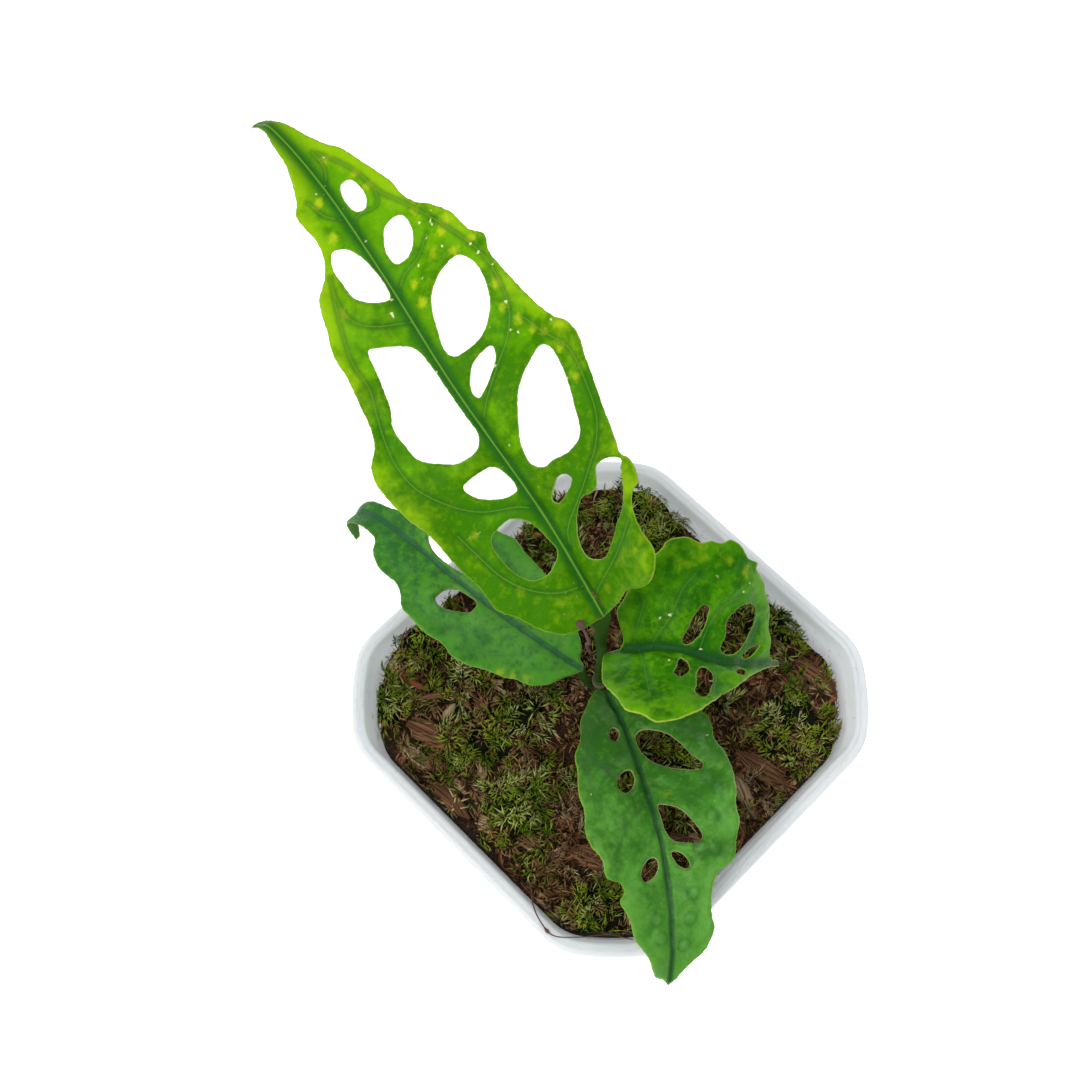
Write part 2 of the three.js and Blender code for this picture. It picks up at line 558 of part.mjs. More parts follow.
// Delaunay triangles over flat points, by adding one point after another. The points are nudged by a hair
// first, because four on one circle or three in one line would leave the split undecided.
function triangulate(points) {
  const count = points.length;
  const far = [[-900, -1000], [1100, -1000], [100, 1200]];
  const all = [...points, ...far].map(([a, b], place) => [
    a + 0.003 * Math.sin(12.9 * place),
    b + 0.003 * Math.sin(78.2 * place),
  ]);
  let triangles = [circled(all, [count, count + 1, count + 2])];
  for (let place = 0; place < count; place += 1) {
    const [along, out] = all[place];
    const open = new Map();
    const kept = triangles.filter(({ corners: [a, b, c], x, y, reach }) => {
      if ((along - x) ** 2 + (out - y) ** 2 > reach) return true;
      [[a, b], [b, c], [c, a]].forEach(([from, to]) => {
        if (!open.delete(`${to} ${from}`)) open.set(`${from} ${to}`, [from, to]);
      });
      return false;
    });
    open.forEach(([from, to]) => kept.push(circled(all, [from, to, place])));
    triangles = kept;
  }
  return triangles.map(({ corners }) => corners).filter((corners) => Math.max(...corners) < count);
}

// The blade laid flat: its outline and holes, a lattice between them and a line of points on the rib.
function flatBlade({ leftMargin, rightMargin, holes }) {
  const left = evenly(leftMargin, marginStep, false);
  const right = evenly([...rightMargin].reverse(), marginStep, false);
  const margin = [...left, ...right];
  const openings = holes.map((hole) => evenly(hole, marginStep, true));
  const points = [...margin, ...openings.flat()];
  const length = leftMargin[leftMargin.length - 1][0];
  const lattice = [];
  for (let along = 3; along < length - 2; along += latticeStep * 0.7) lattice.push([along, 0]);
  for (let row = -5; row <= 5; row += 1) {
    for (let along = (row % 2) * 0.5 * latticeStep; along < length; along += latticeStep) {
      if (row !== 0) lattice.push([along, row * latticeStep * 0.87]);
    }
  }
  const loops = [...points];
  lattice.forEach(([along, out]) => {
    const least = out === 0 ? 0.8 : 0.55 * latticeStep;
    const clear = loops.every(([a, b]) => Math.hypot(a - along, b - out) > least);
    const solid = isInside([along, out], margin) && !openings.some((hole) => isInside([along, out], hole));
    if (clear && solid) points.push([along, out]);
  });
  const triangles = triangulate(points).filter((corners) => {
    const middle = [0, 1].map((axis) => corners.reduce((sum, corner) => sum + points[corner][axis], 0) / 3);
    return isInside(middle, margin) && !openings.some((hole) => isInside(middle, hole));
  });
  return { points, triangles };
}

// The blade as a thin solid, split alike on both faces, with the rib standing out below.
function makeBlade(leaf) {
  const surface = bladeSurface(leaf);
  const { points, triangles } = flatBlade(leaf);
  const length = leaf.leftMargin[leaf.leftMargin.length - 1][0];
  const upper = [];
  const lower = [];
  points.forEach(([along, out]) => {
    const normal = normalAt(surface, along, out);
    const rib = out === 0 ? ribDepth * (1 - along / length) : 0;
    upper.push(...surface(along, out).addScaledVector(normal, bladeThickness / 2).toArray());
    lower.push(...surface(along, out).addScaledVector(normal, -bladeThickness / 2 - rib).toArray());
  });
  const index = [];
  const edges = new Map();
  triangles.forEach(([a, b, c]) => {
    index.push(a, b, c, a + points.length, c + points.length, b + points.length);
    [[a, b], [b, c], [c, a]].forEach(([from, to]) => {
      if (!edges.delete(`${to} ${from}`)) edges.set(`${from} ${to}`, [from, to]);
    });
  });
  edges.forEach(([from, to]) => {
    index.push(from, from + points.length, to + points.length, from, to + points.length, to);
  });
  return solidOf(triangleMesh([...upper, ...lower], index));
}

// Stem: short, with a swelling at each node. It is made a gap wider where it cuts into a petiole.
function makeStem(extra) {
  const swellings = [[0.3, 2.1], [0.5, 1.9], [0.7, 1.9], [0.9, 1.8]];
  const sizes = swellings.flatMap(([at, radius]) => (
    [[at - 0.07, stemRadius], [at, radius], [at + 0.07, stemRadius]]
  ));
  const grown = [[0, 2], ...sizes, [1, 1.3]].map(([at, radius]) => [at, radius + extra]);
  const tip = [stemTip[0], stemTip[1], stemTip[2] + extra];
  return taperedTube([stemFoot, tip], grown, [1, 0, 0], 10, 18);
}

function makeLeaf(leaf) {
  const { path, sizes } = leaf.petiole;
  const petiole = solidOf(taperedTube(path, sizes, [1, -0.4, 0], 8, 3 * path.length));
  return makeBlade(leaf).add(petiole).subtract(solidOf(makeStem(gap)));
}

// Dried sheath: a thin withered thread with a dark knob, which leans out from the petiole of the large leaf and
// hooks up in front of the foot of its blade.
function makeDriedSheath() {
  const path = [[-4.5, 3.2, 118], [-6.8, 2.4, 130], [-8.6, 0.2, 138.5], [-10, -1, 144.5], [-10.3, -0.2, 148.6],
    [-10.2, 1.5, 150.9]];
  const thread = taperedTube(path, [[0, 0.5], [0.8, 0.45], [1, 0.5]], [1, 0, 0], 6, 16);
  const knob = new THREE.SphereGeometry(0.95, 8, 6);
  knob.translate(-10.2, 1.5, 150.9);
  return solidOf(thread).add(solidOf(knob));
}

function isTaken(x, y, clear) {
  const underMoss = mossCushions.some(({ at, reach }) => (
    Math.hypot((x - at[0]) / (reach[0] * 1.15 + clear), (y - at[1]) / (reach[1] * 1.15 + clear)) < 1
  ));
  const underHusk = looseHusk.some(({ path, reach }) => (
    curveThrough(path.map(([a, b]) => [a, b, 0])).getPoints(8).some((point) => (
      Math.hypot(x - point.x, y - point.y) < reach + clear
    ))
  ));
  return underMoss || underHusk || Math.hypot(x - stemFoot[0], y - stemFoot[1]) < stemHoleRadius + clear;
}

addMesh('pot', makePot(), potWhite);
addMesh('growing_mix', geometryOf(makeMix(isTaken)), mixBrown);
mossCushions.forEach((cushion, place) => {
  addMesh(cushion.name, geometryOf(seated(makeMoss(cushion, 31 + place))), mossGreen);
});
looseHusk.forEach((piece) => addMesh(piece.name, geometryOf(seated(makeLoose(piece))), piece.look));
addMesh('stem', makeStem(0), stemGreen);
leaves.forEach((leaf) => addMesh(leaf.name, geometryOf(makeLeaf(leaf)), leaf.look));
addMesh('dried_sheath', geometryOf(makeDriedSheath()), driedBrown);

export default plant;
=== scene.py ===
# The look of a young potted monstera obliqua: four holed leaves in a square white nursery pot of growing mix,
# moss and coco husk. It stands on its base with its middle at the origin, +Z up. Sizes are written in
# millimetres, and each mesh is made in metres.

import functools
import math

import bmesh
import bpy
import numpy as np
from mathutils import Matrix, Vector
from mathutils.geometry import delaunay_2d_cdt


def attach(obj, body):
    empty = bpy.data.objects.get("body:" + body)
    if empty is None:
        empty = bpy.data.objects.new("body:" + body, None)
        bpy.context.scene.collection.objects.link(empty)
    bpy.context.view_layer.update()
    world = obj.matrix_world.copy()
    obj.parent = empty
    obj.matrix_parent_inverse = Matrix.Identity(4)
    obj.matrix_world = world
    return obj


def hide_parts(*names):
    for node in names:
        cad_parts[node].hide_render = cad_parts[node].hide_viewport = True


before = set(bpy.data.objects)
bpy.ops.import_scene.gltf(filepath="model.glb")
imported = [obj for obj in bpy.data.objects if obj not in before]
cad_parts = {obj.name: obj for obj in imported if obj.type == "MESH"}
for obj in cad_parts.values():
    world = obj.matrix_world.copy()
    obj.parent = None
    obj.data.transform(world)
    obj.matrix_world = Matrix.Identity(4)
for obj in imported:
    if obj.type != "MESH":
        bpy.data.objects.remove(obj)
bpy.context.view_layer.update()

# Camera: a 60 mm lens on a 36 mm wide frame, about half a metre from the plant. It stands over the pot's
# corner at -X and -Y, and looks steeply down.

lens = bpy.data.cameras.new("camera")
lens.lens = 60
lens.sensor_width = 36
lens.clip_start = 0.01
camera = bpy.data.objects.new("camera", lens)
camera.location = (-0.0993556, -0.0764877, 0.48303)
camera.rotation_euler = (math.radians(22.27), 0, math.radians(-45))
bpy.context.collection.objects.link(camera)
bpy.context.scene.camera = camera

# Pot: a square nursery pot, moulded in off-white polypropylene with a satin face. Its thin wall tapers to the
# foot, a rolled lip with a fine groove stands out round the top, and four drain holes go through the floor.

mm = 0.001
pot_top, pot_base, pot_height = 100, 68, 85
corner_reach, shoulder_radius = 0.596, 0.14
wall, lip_height, lip_reach, lip_bead, groove_start = 1.3, 4, 1.8, 0.8, 1.3
drain_radius, drain_spread, drain_sides = 4, 17, 48
shoulder_steps, corner_steps, side_steps, bead_steps, wall_steps = 14, 12, 16, 7, 14


def arc(x, y, radius, start, end, steps):
    angles = np.linspace(start, end, steps)
    return np.column_stack([x + radius * np.cos(angles), y + radius * np.sin(angles)])


def way_along(run):
    """The length of a run of points up to each of them."""
    return np.concatenate([[0], np.cumsum(np.linalg.norm(np.diff(run, axis=0), axis=1))])


def read_off(places, along, rows):
    """Rows of numbers at places between the given ones."""
    return np.column_stack([np.interp(places, along, axis) for axis in rows.T])


def evenly(points, step=None, closed=False, count=None):
    """Points at even steps along a run of points, or a given number of them."""
    run = np.vstack([points, points[:1]]) if closed else np.asarray(points, float)
    along = way_along(run)
    count = count or max(6, round(along[-1] / step))
    places = np.linspace(0, along[-1], count + 1)
    return read_off(places[:-1] if closed else places, along, run)


def pot_outline(side, inset):
    """The pot from above: wide arcs about the middle at the corners, each between two tight shoulders."""
    reach = side * corner_reach - inset
    shoulder = side * shoulder_radius - inset
    across = side / 2 - inset - shoulder
    along = math.sqrt((reach - shoulder) ** 2 - across**2)
    bend = math.atan2(along, across)
    right = math.pi / 2
    quarter = np.vstack([
        arc(across, along, shoulder, 0, bend, shoulder_steps),
        arc(0, 0, reach, bend, right - bend, corner_steps)[1:-1],
        arc(along, across, shoulder, right - bend, right, shoulder_steps),
        np.linspace([along, across + shoulder], [-along, across + shoulder], side_steps)[1:-1],
    ])
    turns = [(1, 0), (0, 1), (-1, 0), (0, -1)]
    return np.vstack([quarter @ np.array([[c, s], [-s, c]]) for c, s in turns])


def ring_at(flat, z):
    return np.column_stack([flat, np.broadcast_to(z, len(flat))])


def side_at(z):
    return pot_base + (pot_top - 2 * lip_reach - pot_base) * z / pot_height


def skin(rings):
    """Points and faces of a closed skin over rings of equal count, with both ends filled by a fan."""
    rings = np.asarray(rings)
    levels, count = rings.shape[:2]
    points = np.vstack([rings.reshape(-1, 3), rings[0].mean(0), rings[-1].mean(0)])
    top, first, last = (levels - 1) * count, levels * count, levels * count + 1
    steps = [(step, (step + 1) % count) for step in range(count)]
    faces = [(low + a, low + b, low + count + b, low + count + a)
             for low in range(0, top, count) for a, b in steps]
    for a, b in steps:
        faces += [(first, b, a), (last, top + a, top + b)]
    return points, faces


def make_mesh(name, points, faces, **marks):
    """A smooth mesh, with a number on each point for each mark."""
    mesh = bpy.data.meshes.new(name)
    mesh.from_pydata((np.asarray(points) * mm).tolist(), [], faces)
    mesh.shade_smooth()
    for mark, values in marks.items():
        mesh.attributes.new(mark, "FLOAT", "POINT").data.foreach_set("value", np.asarray(values, float))
    return mesh


def add_piece(name, points, faces, material, **marks):
    mesh = make_mesh(name, points, faces, **marks)
    mesh.materials.append(material)
    piece = bpy.data.objects.new(name, mesh)
    bpy.context.collection.objects.link(piece)
    return piece


def make_plain(piece):
    """Turns what the modifiers give into the piece's own mesh."""
    graph = bpy.context.evaluated_depsgraph_get()
    mesh = bpy.data.meshes.new_from_object(
        piece.evaluated_get(graph), preserve_all_data_layers=True, depsgraph=graph)
    piece.modifiers.clear()
    piece.data = mesh


def settle(piece, slot, *nodes):
    """Hands a finished piece to the plant's one body, with the solids that it stands for."""
    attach(piece, "root")
    if nodes:
        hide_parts(*nodes)


def add_node(tree, kind, settings=None, sockets=None):
    """Adds a node, with its settings made first, and its sockets given values or links. Gives its outputs."""
    node = tree.nodes.new(kind)
    for setting, value in (settings or {}).items():
        setattr(node, setting, value)
    for socket, value in (sockets or {}).items():
        if isinstance(value, bpy.types.NodeSocket):
            tree.links.new(value, node.inputs[socket])
        else:
            node.inputs[socket].default_value = value
    return node.outputs


class Value:
    """A shader socket that takes part in sums."""

    def __init__(self, look, socket):
        self.look = look
        self.socket = socket

    def maths(self, operation, *terms):
        return self.look.node("ShaderNodeMath", {"operation": operation}, dict(enumerate(terms)))

    def __add__(self, other):
        return self.maths("ADD", self, other)

    def __rsub__(self, other):
        return self.maths("SUBTRACT", other, self)

    def __mul__(self, other):
        return self.maths("MULTIPLY", self, other)

    __radd__ = __add__
    __rmul__ = __mul__


class Look:
    """A material under way: its nodes, and the sockets of its one shader."""

    def __init__(self, name, **constants):
        self.material = bpy.data.materials.new(name)
        self.material.use_nodes = True
        self.tree = self.material.node_tree
        self.shader = self.tree.nodes["Principled BSDF"]
        for socket, value in constants.items():
            self.shader.inputs[socket.replace("_", " ")].default_value = value

    def node(self, kind, settings=None, sockets=None, out=0):
        plain = {key: getattr(value, "socket", value) for key, value in (sockets or {}).items()}
        return Value(self, add_node(self.tree, kind, settings, plain)[out])

    def attribute(self, name):
        return self.node("ShaderNodeAttribute", {"attribute_name": name}, out=2)

    @functools.cached_property
    def place(self):
        """Object coordinates in millimetres."""
        sockets = {0: self.node("ShaderNodeTexCoord", out=3), 1: (1 / mm,) * 3}
        return self.node("ShaderNodeVectorMath", {"operation": "MULTIPLY"}, sockets)

    def noise(self, size, detail=3, rough=0.55):
        """Noise from 0 to 1, with swells of a size in millimetres."""
        sockets = {"Vector": self.place, "Scale": 1 / size, "Detail": detail, "Roughness": rough}
        return self.node("ShaderNodeTexNoise", {}, sockets)

    def cells(self, size, feature):
        sockets = {"Vector": self.place, "Scale": 1 / size}
        return self.node("ShaderNodeTexVoronoi", {"feature": feature}, sockets)

    def step(self, value, start, end):
        """Goes smoothly from 0 at start to 1 at end."""
        settings = {"interpolation_type": "SMOOTHSTEP"}
        sockets = {0: value, 1: min(start, end), 2: max(start, end)}
        rising = self.node("ShaderNodeMapRange", settings, sockets)
        return rising if start < end else 1 - rising

    def paint(self, colour, *coats):
        """Lays coats over a colour, one after another, each a factor and a colour."""
        for factor, coat in coats:
            sockets = {0: factor}
            for socket, shade in ((6, colour), (7, coat)):
                sockets[socket] = shade if isinstance(shade, Value) else (*shade, 1)
            colour = self.node("ShaderNodeMix", {"data_type": "RGBA"}, sockets, out=2)
        return colour

    def finish(self, colour, roughness, relief=None, height=None, strength=None):
        """Feeds the shader, with a relief of a height in millimetres, and gives the material."""
        feeds = {"Base Color": colour, "Roughness": roughness}
        if relief is not None:
            sockets = {"Height": relief, "Distance": height * mm, "Strength": strength}
            feeds["Normal"] = self.node("ShaderNodeBump", {}, sockets)
        for socket, value in feeds.items():
            self.tree.links.new(value.socket, self.shader.inputs[socket])
        return self.material


def pot_finish():
    """Satin plastic, faintly clouded, with specks and smudges, and splashes of mix inside the lip."""
    look = Look("pot plastic", Specular_IOR_Level=0.3, Subsurface_Weight=0.9, Subsurface_Scale=0.007,
                Subsurface_Radius=(1, 1, 1))
    height = look.node("ShaderNodeSeparateXYZ", {}, {0: look.place}, out=2)
    grain = look.noise(0.35, 2)
    cloud = look.noise(17)
    splash = look.step(look.noise(3.1, 5, 0.7), 0.56, 0.7)
    near_mix = look.step(height, 84.6, 79) * look.step(height, 74, 78)
    smudge = look.step(look.noise(6, 2), 0.6, 0.7) * look.step(look.noise(0.7, 4, 0.7), 0.5, 0.62)
    speck = look.step(look.cells(7, "F1"), 0.045, 0.03)
    dirt = splash * near_mix * 0.75 + smudge * 0.16 + speck * 0.6
    colour = look.paint((0.71, 0.725, 0.75), (cloud, (0.78, 0.785, 0.79)), (dirt, (0.3, 0.22, 0.13)))
    return look.finish(colour, 0.34 + grain * 0.12 + dirt * 0.3, grain + cloud, 0.03, 0.5)


def pot_rings():
    """The wall, the lip that rolls over it and the inside, as level rings: side, inset and height."""
    under_lip = pot_height - lip_height
    bead = pot_height - lip_bead
    foot = [(pot_base, 1, 0), (pot_base, 0.35, 0.15), (pot_base, 0, 0.6)]
    sides = [(side_at(z), 0, z) for z in np.linspace(1.2, under_lip, wall_steps)]
    skirt = [(pot_top, inset, under_lip + up) for inset, up in [(0.4, 0), (0.1, 0.1), (0, 0.4)]]
    outer = [(pot_top, lip_bead - c, bead + s) for c, s in arc(0, 0, lip_bead, 0, math.pi / 2, bead_steps)]
    groove = [(pot_top, groove_start + further, pot_height - down)
              for further, down in [(0, 0), (0.1, 0.4), (0.25, 0.5), (0.4, 0.4), (0.5, 0)]]
    inner = [(pot_top, lip_reach + wall - lip_bead + s, bead + c)
             for c, s in arc(0, 0, lip_bead, 0, math.pi / 2, bead_steps - 1)]
    inside = [(side_at(z), wall, z) for z in np.linspace(pot_height - 1.3, wall + 0.6, wall_steps + 2)]
    floor = [(side_at(wall), wall + 0.6, wall)]
    rings = foot + sides + skirt + outer + groove + inner + inside + floor
    return [ring_at(pot_outline(side, inset), z) for side, inset, z in rings]


def cut_drains(piece):
    """Cuts plain round holes through the floor, and leaves a plain mesh."""
    drill = bmesh.new()
    for x, y in [(1, 1), (-1, 1), (-1, -1), (1, -1)]:
        made = bmesh.ops.create_cone(
            drill, cap_ends=True, segments=drain_sides, radius1=drain_radius * mm,
            radius2=drain_radius * mm, depth=4 * wall * mm)
        bmesh.ops.translate(drill, verts=made["verts"], vec=(x * drain_spread * mm, y * drain_spread * mm, 0))
    mesh = bpy.data.meshes.new("cutter")
    drill.to_mesh(mesh)
    drill.free()
    cutter = bpy.data.objects.new("cutter", mesh)
    bpy.context.collection.objects.link(cutter)
    holes = piece.modifiers.new("holes", "BOOLEAN")
    holes.operation = "DIFFERENCE"
    holes.object = cutter
    make_plain(piece)
    bpy.data.objects.remove(cutter)


pot = add_piece("pot_shell", *skin(pot_rings()), pot_finish())
cut_drains(pot)
settle(pot, "pot", "pot")

# Growing mix: a loose fill of coco husk, fibre and crumbs, up to a few millimetres under the lip. Its body
# is painted near black, as painted shade in the pits between them. Its top is lumpy, and torn bits of husk
# and fine dead roots lie all over it.

mix_gap, mix_shoulder, mix_top, mix_lump, mix_rise = 0.3, 74.2, 78, 1.1, 0.047
mix_sides, mix_levels, sheet_sides, sheet_levels = 280, 70, 240, 60
stem_foot, stem_hole_radius = (-0.4, 2.5, 69), 2.9


def lumps(x, y):
    """The lumps of the fill, which is heaped towards the back, most of all in the corner at +X and +Y."""
    broad = np.sin(x / 7.1 + 1) * np.cos(y / 6.3)
    small = np.sin(x / 3.3 + y / 4.1) * np.cos(y / 2.9 - x / 5.7)
    heap = mix_rise * (y + 24) * (1 + x / 110)
    return mix_lump * (0.6 * broad + 0.4 * small) + heap


def clumps(x, y):
    """Where the loose stuff bunches up, from -1 in a pit to 1 on a clump. The clumps are 5 to 7 mm across."""
    broad = np.sin(x / 2.3 + 1.2 * np.sin(y / 3.1)) * np.cos(y / 2.1 + 1.1 * np.sin(x / 3.7))
    small = np.sin(x / 1.1 + 1.3 * np.sin(y / 1.7)) * np.cos(y / 1.3 + np.sin(x / 1.9))
    return 0.7 * broad + 0.3 * small


def crumble(x, y):
    """Fine unevenness of the mix, on top of its lumps."""
    pits = np.sin(1.9 * x + np.sin(1.3 * y)) * np.sin(2.1 * y + np.sin(1.7 * x))
    fine = np.sin(4.3 * x + 1.7 * y) * np.sin(3.9 * y - 2.3 * x)
    return 0.9 * np.minimum(clumps(x, y), 0) + 0.35 * pits + 0.2 * fine


def mix_outline(z, clear, count):
    """The edge of the mix from above, which keeps a gap and so much more to the wall."""
    return evenly(pot_outline(side_at(z), wall + mix_gap + clear), closed=True, count=count)


def mix_rings():
    rings = [ring_at(mix_outline(z, 0, mix_sides), z) for z in (wall + mix_gap, mix_shoulder)]
    outline = mix_outline(mix_top, 0, mix_sides)
    for part in np.linspace(0.975, 0.02, mix_levels):
        flat = outline * part
        rings.append(ring_at(flat, mix_top + lumps(*flat.T) + crumble(*flat.T)))
    return rings


def mix_finish():
    look = Look("growing mix", Specular_IOR_Level=0.15)
    crumb = look.cells(1.3, "F1")
    grit = look.noise(0.6, 5, 0.7)
    # The near-black base is painted shade: it shows in the pits between the crumbs and loose bits as their
    # shadow. The brown grit and the olive patches are the mix's own colour.
    colour = look.paint(
        (0.004, 0.003, 0.002), (look.step(grit, 0.35, 0.75), (0.14, 0.065, 0.03)),
        (look.step(look.noise(9), 0.45, 0.65) * 0.5, (0.035, 0.03, 0.008)))
    return look.finish(colour, 0.85 + grit * 0.1, crumb + grit, 0.8, 1)


mix_body = add_piece("growing_mix_body", *skin(mix_rings()), mix_finish())
settle(mix_body, "mix", "growing_mix")


def fibre_bits(name, make, count):
    """A hidden set of small source pieces, made by a rule from their numbers."""
    group = bpy.data.collections.new(name)
    for number in range(count):
        points, faces, tips = make(np.random.default_rng(number + 1))
        group.objects.link(bpy.data.objects.new(f"{name}_{number}", make_mesh(name, points, faces, tip=tips)))
    return group


def scatter_tree(name, keep_surface):
    """Strews source pieces over a surface, each leaning its own way, with its own size and tint."""
    tree = bpy.data.node_groups.new(name, "GeometryNodeTree")
    inputs = dict(Surface="Geometry", Density="Float", Smallest="Float", Largest="Float", Tilt="Float",
                  Seed="Int", Bits="Collection", Finish="Material")
    for socket, kind in inputs.items():
        tree.interface.new_socket(socket, in_out="INPUT", socket_type=f"NodeSocket{kind}")
    tree.interface.new_socket("Strewn", in_out="OUTPUT", socket_type="NodeSocketGeometry")
    node = functools.partial(add_node, tree)
    given = node("NodeGroupInput")
    seed = {"Seed": given["Seed"]}
    room = node("GeometryNodeInputNamedAttribute", {"data_type": "FLOAT"}, {"Name": "room"})[0]
    density = node("ShaderNodeMath", {"operation": "MULTIPLY"}, {0: given["Density"], 1: room})[0]
    points = node("GeometryNodeDistributePointsOnFaces", {},
                  {"Mesh": given["Surface"], "Density": density, **seed})
    bits = node("GeometryNodeCollectionInfo", {},
                {"Collection": given["Bits"], "Separate Children": True, "Reset Children": True})[0]
    lowest = node("ShaderNodeMath", {"operation": "MULTIPLY"}, {0: given["Tilt"], 1: -1})[0]
    least = node("ShaderNodeCombineXYZ", {}, {0: lowest, 1: lowest, 2: -math.pi})[0]
    most = node("ShaderNodeCombineXYZ", {}, {0: given["Tilt"], 1: given["Tilt"], 2: math.pi})[0]
    lean = node("FunctionNodeRandomValue", {"data_type": "FLOAT_VECTOR"}, {0: least, 1: most, **seed})[0]
    turn = node("FunctionNodeRotateRotation", {"rotation_space": "LOCAL"},
                {0: points["Rotation"], 1: lean})[0]
    size = node("FunctionNodeRandomValue", {"data_type": "FLOAT"},
                {2: given["Smallest"], 3: given["Largest"], **seed})[1]
    strewn = node("GeometryNodeInstanceOnPoints", {},
                  {"Points": points["Points"], "Instance": bits, "Pick Instance": True,
                   "Rotation": turn, "Scale": size})[0]
    tint = node("FunctionNodeRandomValue", {"data_type": "FLOAT"}, {2: 0, 3: 1, "Seed": 5})[1]
    marked = node("GeometryNodeStoreNamedAttribute", {"data_type": "FLOAT", "domain": "INSTANCE"},
                  {"Geometry": strewn, "Name": "tint", "Value": tint})[0]
    grown = node("GeometryNodeRealizeInstances", {}, {0: marked})[0]
    if keep_surface:
        joined = node("GeometryNodeJoinGeometry", {}, {0: grown})[0]
        tree.links.new(given["Surface"], joined.node.inputs[0])
        grown = joined
    finished = node("GeometryNodeSetMaterial", {}, {"Geometry": grown, "Material": given["Finish"]})[0]
    node("NodeGroupOutput", {}, {0: finished})
    return tree


def room_in_pot(x, y):
    """The share of its reach at which each point would stay inside the wall of the pot, at most 1."""
    outline = pot_outline(side_at(mix_top - 3), wall + mix_gap)
    angles = np.arctan2(outline[:, 1], outline[:, 0])
    order = np.argsort(angles)
    most = np.interp(np.arctan2(y, x), angles[order], np.hypot(*outline[order].T), period=2 * math.pi)
    return np.minimum(1, most / np.maximum(np.hypot(x, y), 1))


def keep_in_pot(piece):
    """Draws what would cross the wall of the pot back inside it."""
    count = len(piece.data.vertices)
    points = np.empty(3 * count)
    piece.data.vertices.foreach_get("co", points)
    points = points.reshape(count, 3)
    x, y, _ = points.T / mm
    points[:, :2] *= room_in_pot(x, y)[:, None]
    piece.data.vertices.foreach_set("co", points.ravel())
    piece.data.update()


def strew(piece, tree, bits, finish, density, smallest, largest, tilt, seed):
    """Strews so many bits on a square millimetre of a piece, and leaves a plain mesh inside the pot."""
    modifier = piece.modifiers.new("strew", "NODES")
    modifier.node_group = tree
    values = dict(Density=density / mm**2, Smallest=smallest, Largest=largest, Tilt=tilt, Seed=seed,
                  Bits=bits, Finish=finish)
    for socket in tree.interface.items_tree:
        if socket.name in values:
            modifier[socket.identifier] = values[socket.name]
    make_plain(piece)
    keep_in_pot(piece)


def strewn_room(x, y):
    """How much loose stuff lies at a place: most on the clumps, and none in the hole round the stem."""
    open_mix = np.hypot(x - stem_foot[0], y - stem_foot[1]) > stem_hole_radius
    return open_mix * np.clip(0.55 + 0.9 * clumps(x, y), 0.12, 1)


def mix_surface(name, clear, share=lambda x, y: 1):
    """An open sheet over the clumps of the mix, to strew things on, or a share of it at each place."""
    outline = mix_outline(mix_top, clear, sheet_sides)
    rings = []
    for part in np.linspace(1, 0.02, sheet_levels):
        flat = outline * part
        rings.append(ring_at(flat, mix_top + lumps(*flat.T) + 0.9 * clumps(*flat.T) - 0.1))
    points, faces = skin(rings)
    x, y, _ = points.T
    return add_piece(name, points, faces[:-2 * sheet_sides], None, room=strewn_room(x, y) * share(x, y))


def unit(vectors):
    vectors = np.asarray(vectors, float)
    return vectors / np.linalg.norm(vectors, axis=-1, keepdims=True)


def around(count):
    return np.linspace(0, 2 * math.pi, count, endpoint=False)


def tube_rings(path, wide, thick=None, across=(0.6, 0.8, 0), sides=12):
    """Rings of points round a path, so wide one way and so thick the other."""
    path = np.asarray(path, float)
    heading = unit(np.gradient(path, axis=0))
    across = np.asarray(across, float)
    sideways = unit(across - (heading @ across)[:, None] * heading)
    other = np.cross(heading, sideways)
    angles = around(sides)
    wide = np.broadcast_to(wide, len(path))
    thick = wide if thick is None else np.broadcast_to(thick, len(path))
    return (path[:, None]
            + (wide[:, None] * np.cos(angles))[..., None] * sideways[:, None]
            + (thick[:, None] * np.sin(angles))[..., None] * other[:, None])


def bundle(parts):
    """One skin out of several, each with its points, its faces and one mark, or one for each point."""
    starts = np.cumsum([0] + [len(points) for points, _, _ in parts]).tolist()
    faces = [tuple(start + corner for corner in face)
             for start, (_, sides, _) in zip(starts, parts) for face in sides]
    marks = [np.broadcast_to(mark, len(points)) for points, _, mark in parts]
    return np.vstack([points for points, _, _ in parts]), faces, np.concatenate(marks)


def husk_chunk(draw):
    """A torn bit of husk, 4 to 9 mm long: a flat bundle of coarse fibres that splay at the ends."""
    length, wide = draw.uniform(4, 9), draw.uniform(0.5, 1.3)
    part = np.linspace(0, 1, 5)
    strands = []
    for place in np.linspace(-1, 1, 6):
        start, end = draw.uniform(0, 0.25), draw.uniform(0.75, 1)
        along = start + (end - start) * part
        splay = 1 + 0.9 * (2 * along - 1) ** 2
        path = np.column_stack([
            length * (along - 0.5),
            wide * place * splay + draw.uniform(-0.15, 0.15, 5),
            0.3 * (1 - place**2) + draw.uniform(-0.2, 0.2, 5),
        ])
        radius = draw.uniform(0.22, 0.42) * np.sin(math.pi * (0.12 + 0.76 * part))
        strand = skin(tube_rings(path, radius, 0.7 * radius, sides=4, across=(0, 1, 0.1)))
        strands.append((*strand, draw.uniform(0, 1)))
    return bundle(strands)


def husk_fibre(draw):
    """A single curved strand of husk or a fine dead root, 5 to 14 mm long."""
    length, bow = draw.uniform(5, 14), draw.uniform(-0.35, 0.35, 3)
    part = np.linspace(0, 1, 8)
    path = np.column_stack([
        length * (part - 0.5),
        length * bow[0] * np.sin(math.pi * part) + length * 0.5 * bow[1] * np.sin(2 * math.pi * part),
        0.25 * length * bow[2] * np.sin(math.pi * part),
    ])
    radius = draw.uniform(0.1, 0.22) * (1 - 0.6 * part)
    points, faces = skin(tube_rings(path, radius, sides=4, across=(0, 1, 0.2)))
    return points, faces, np.full(len(points), draw.uniform(0, 1))


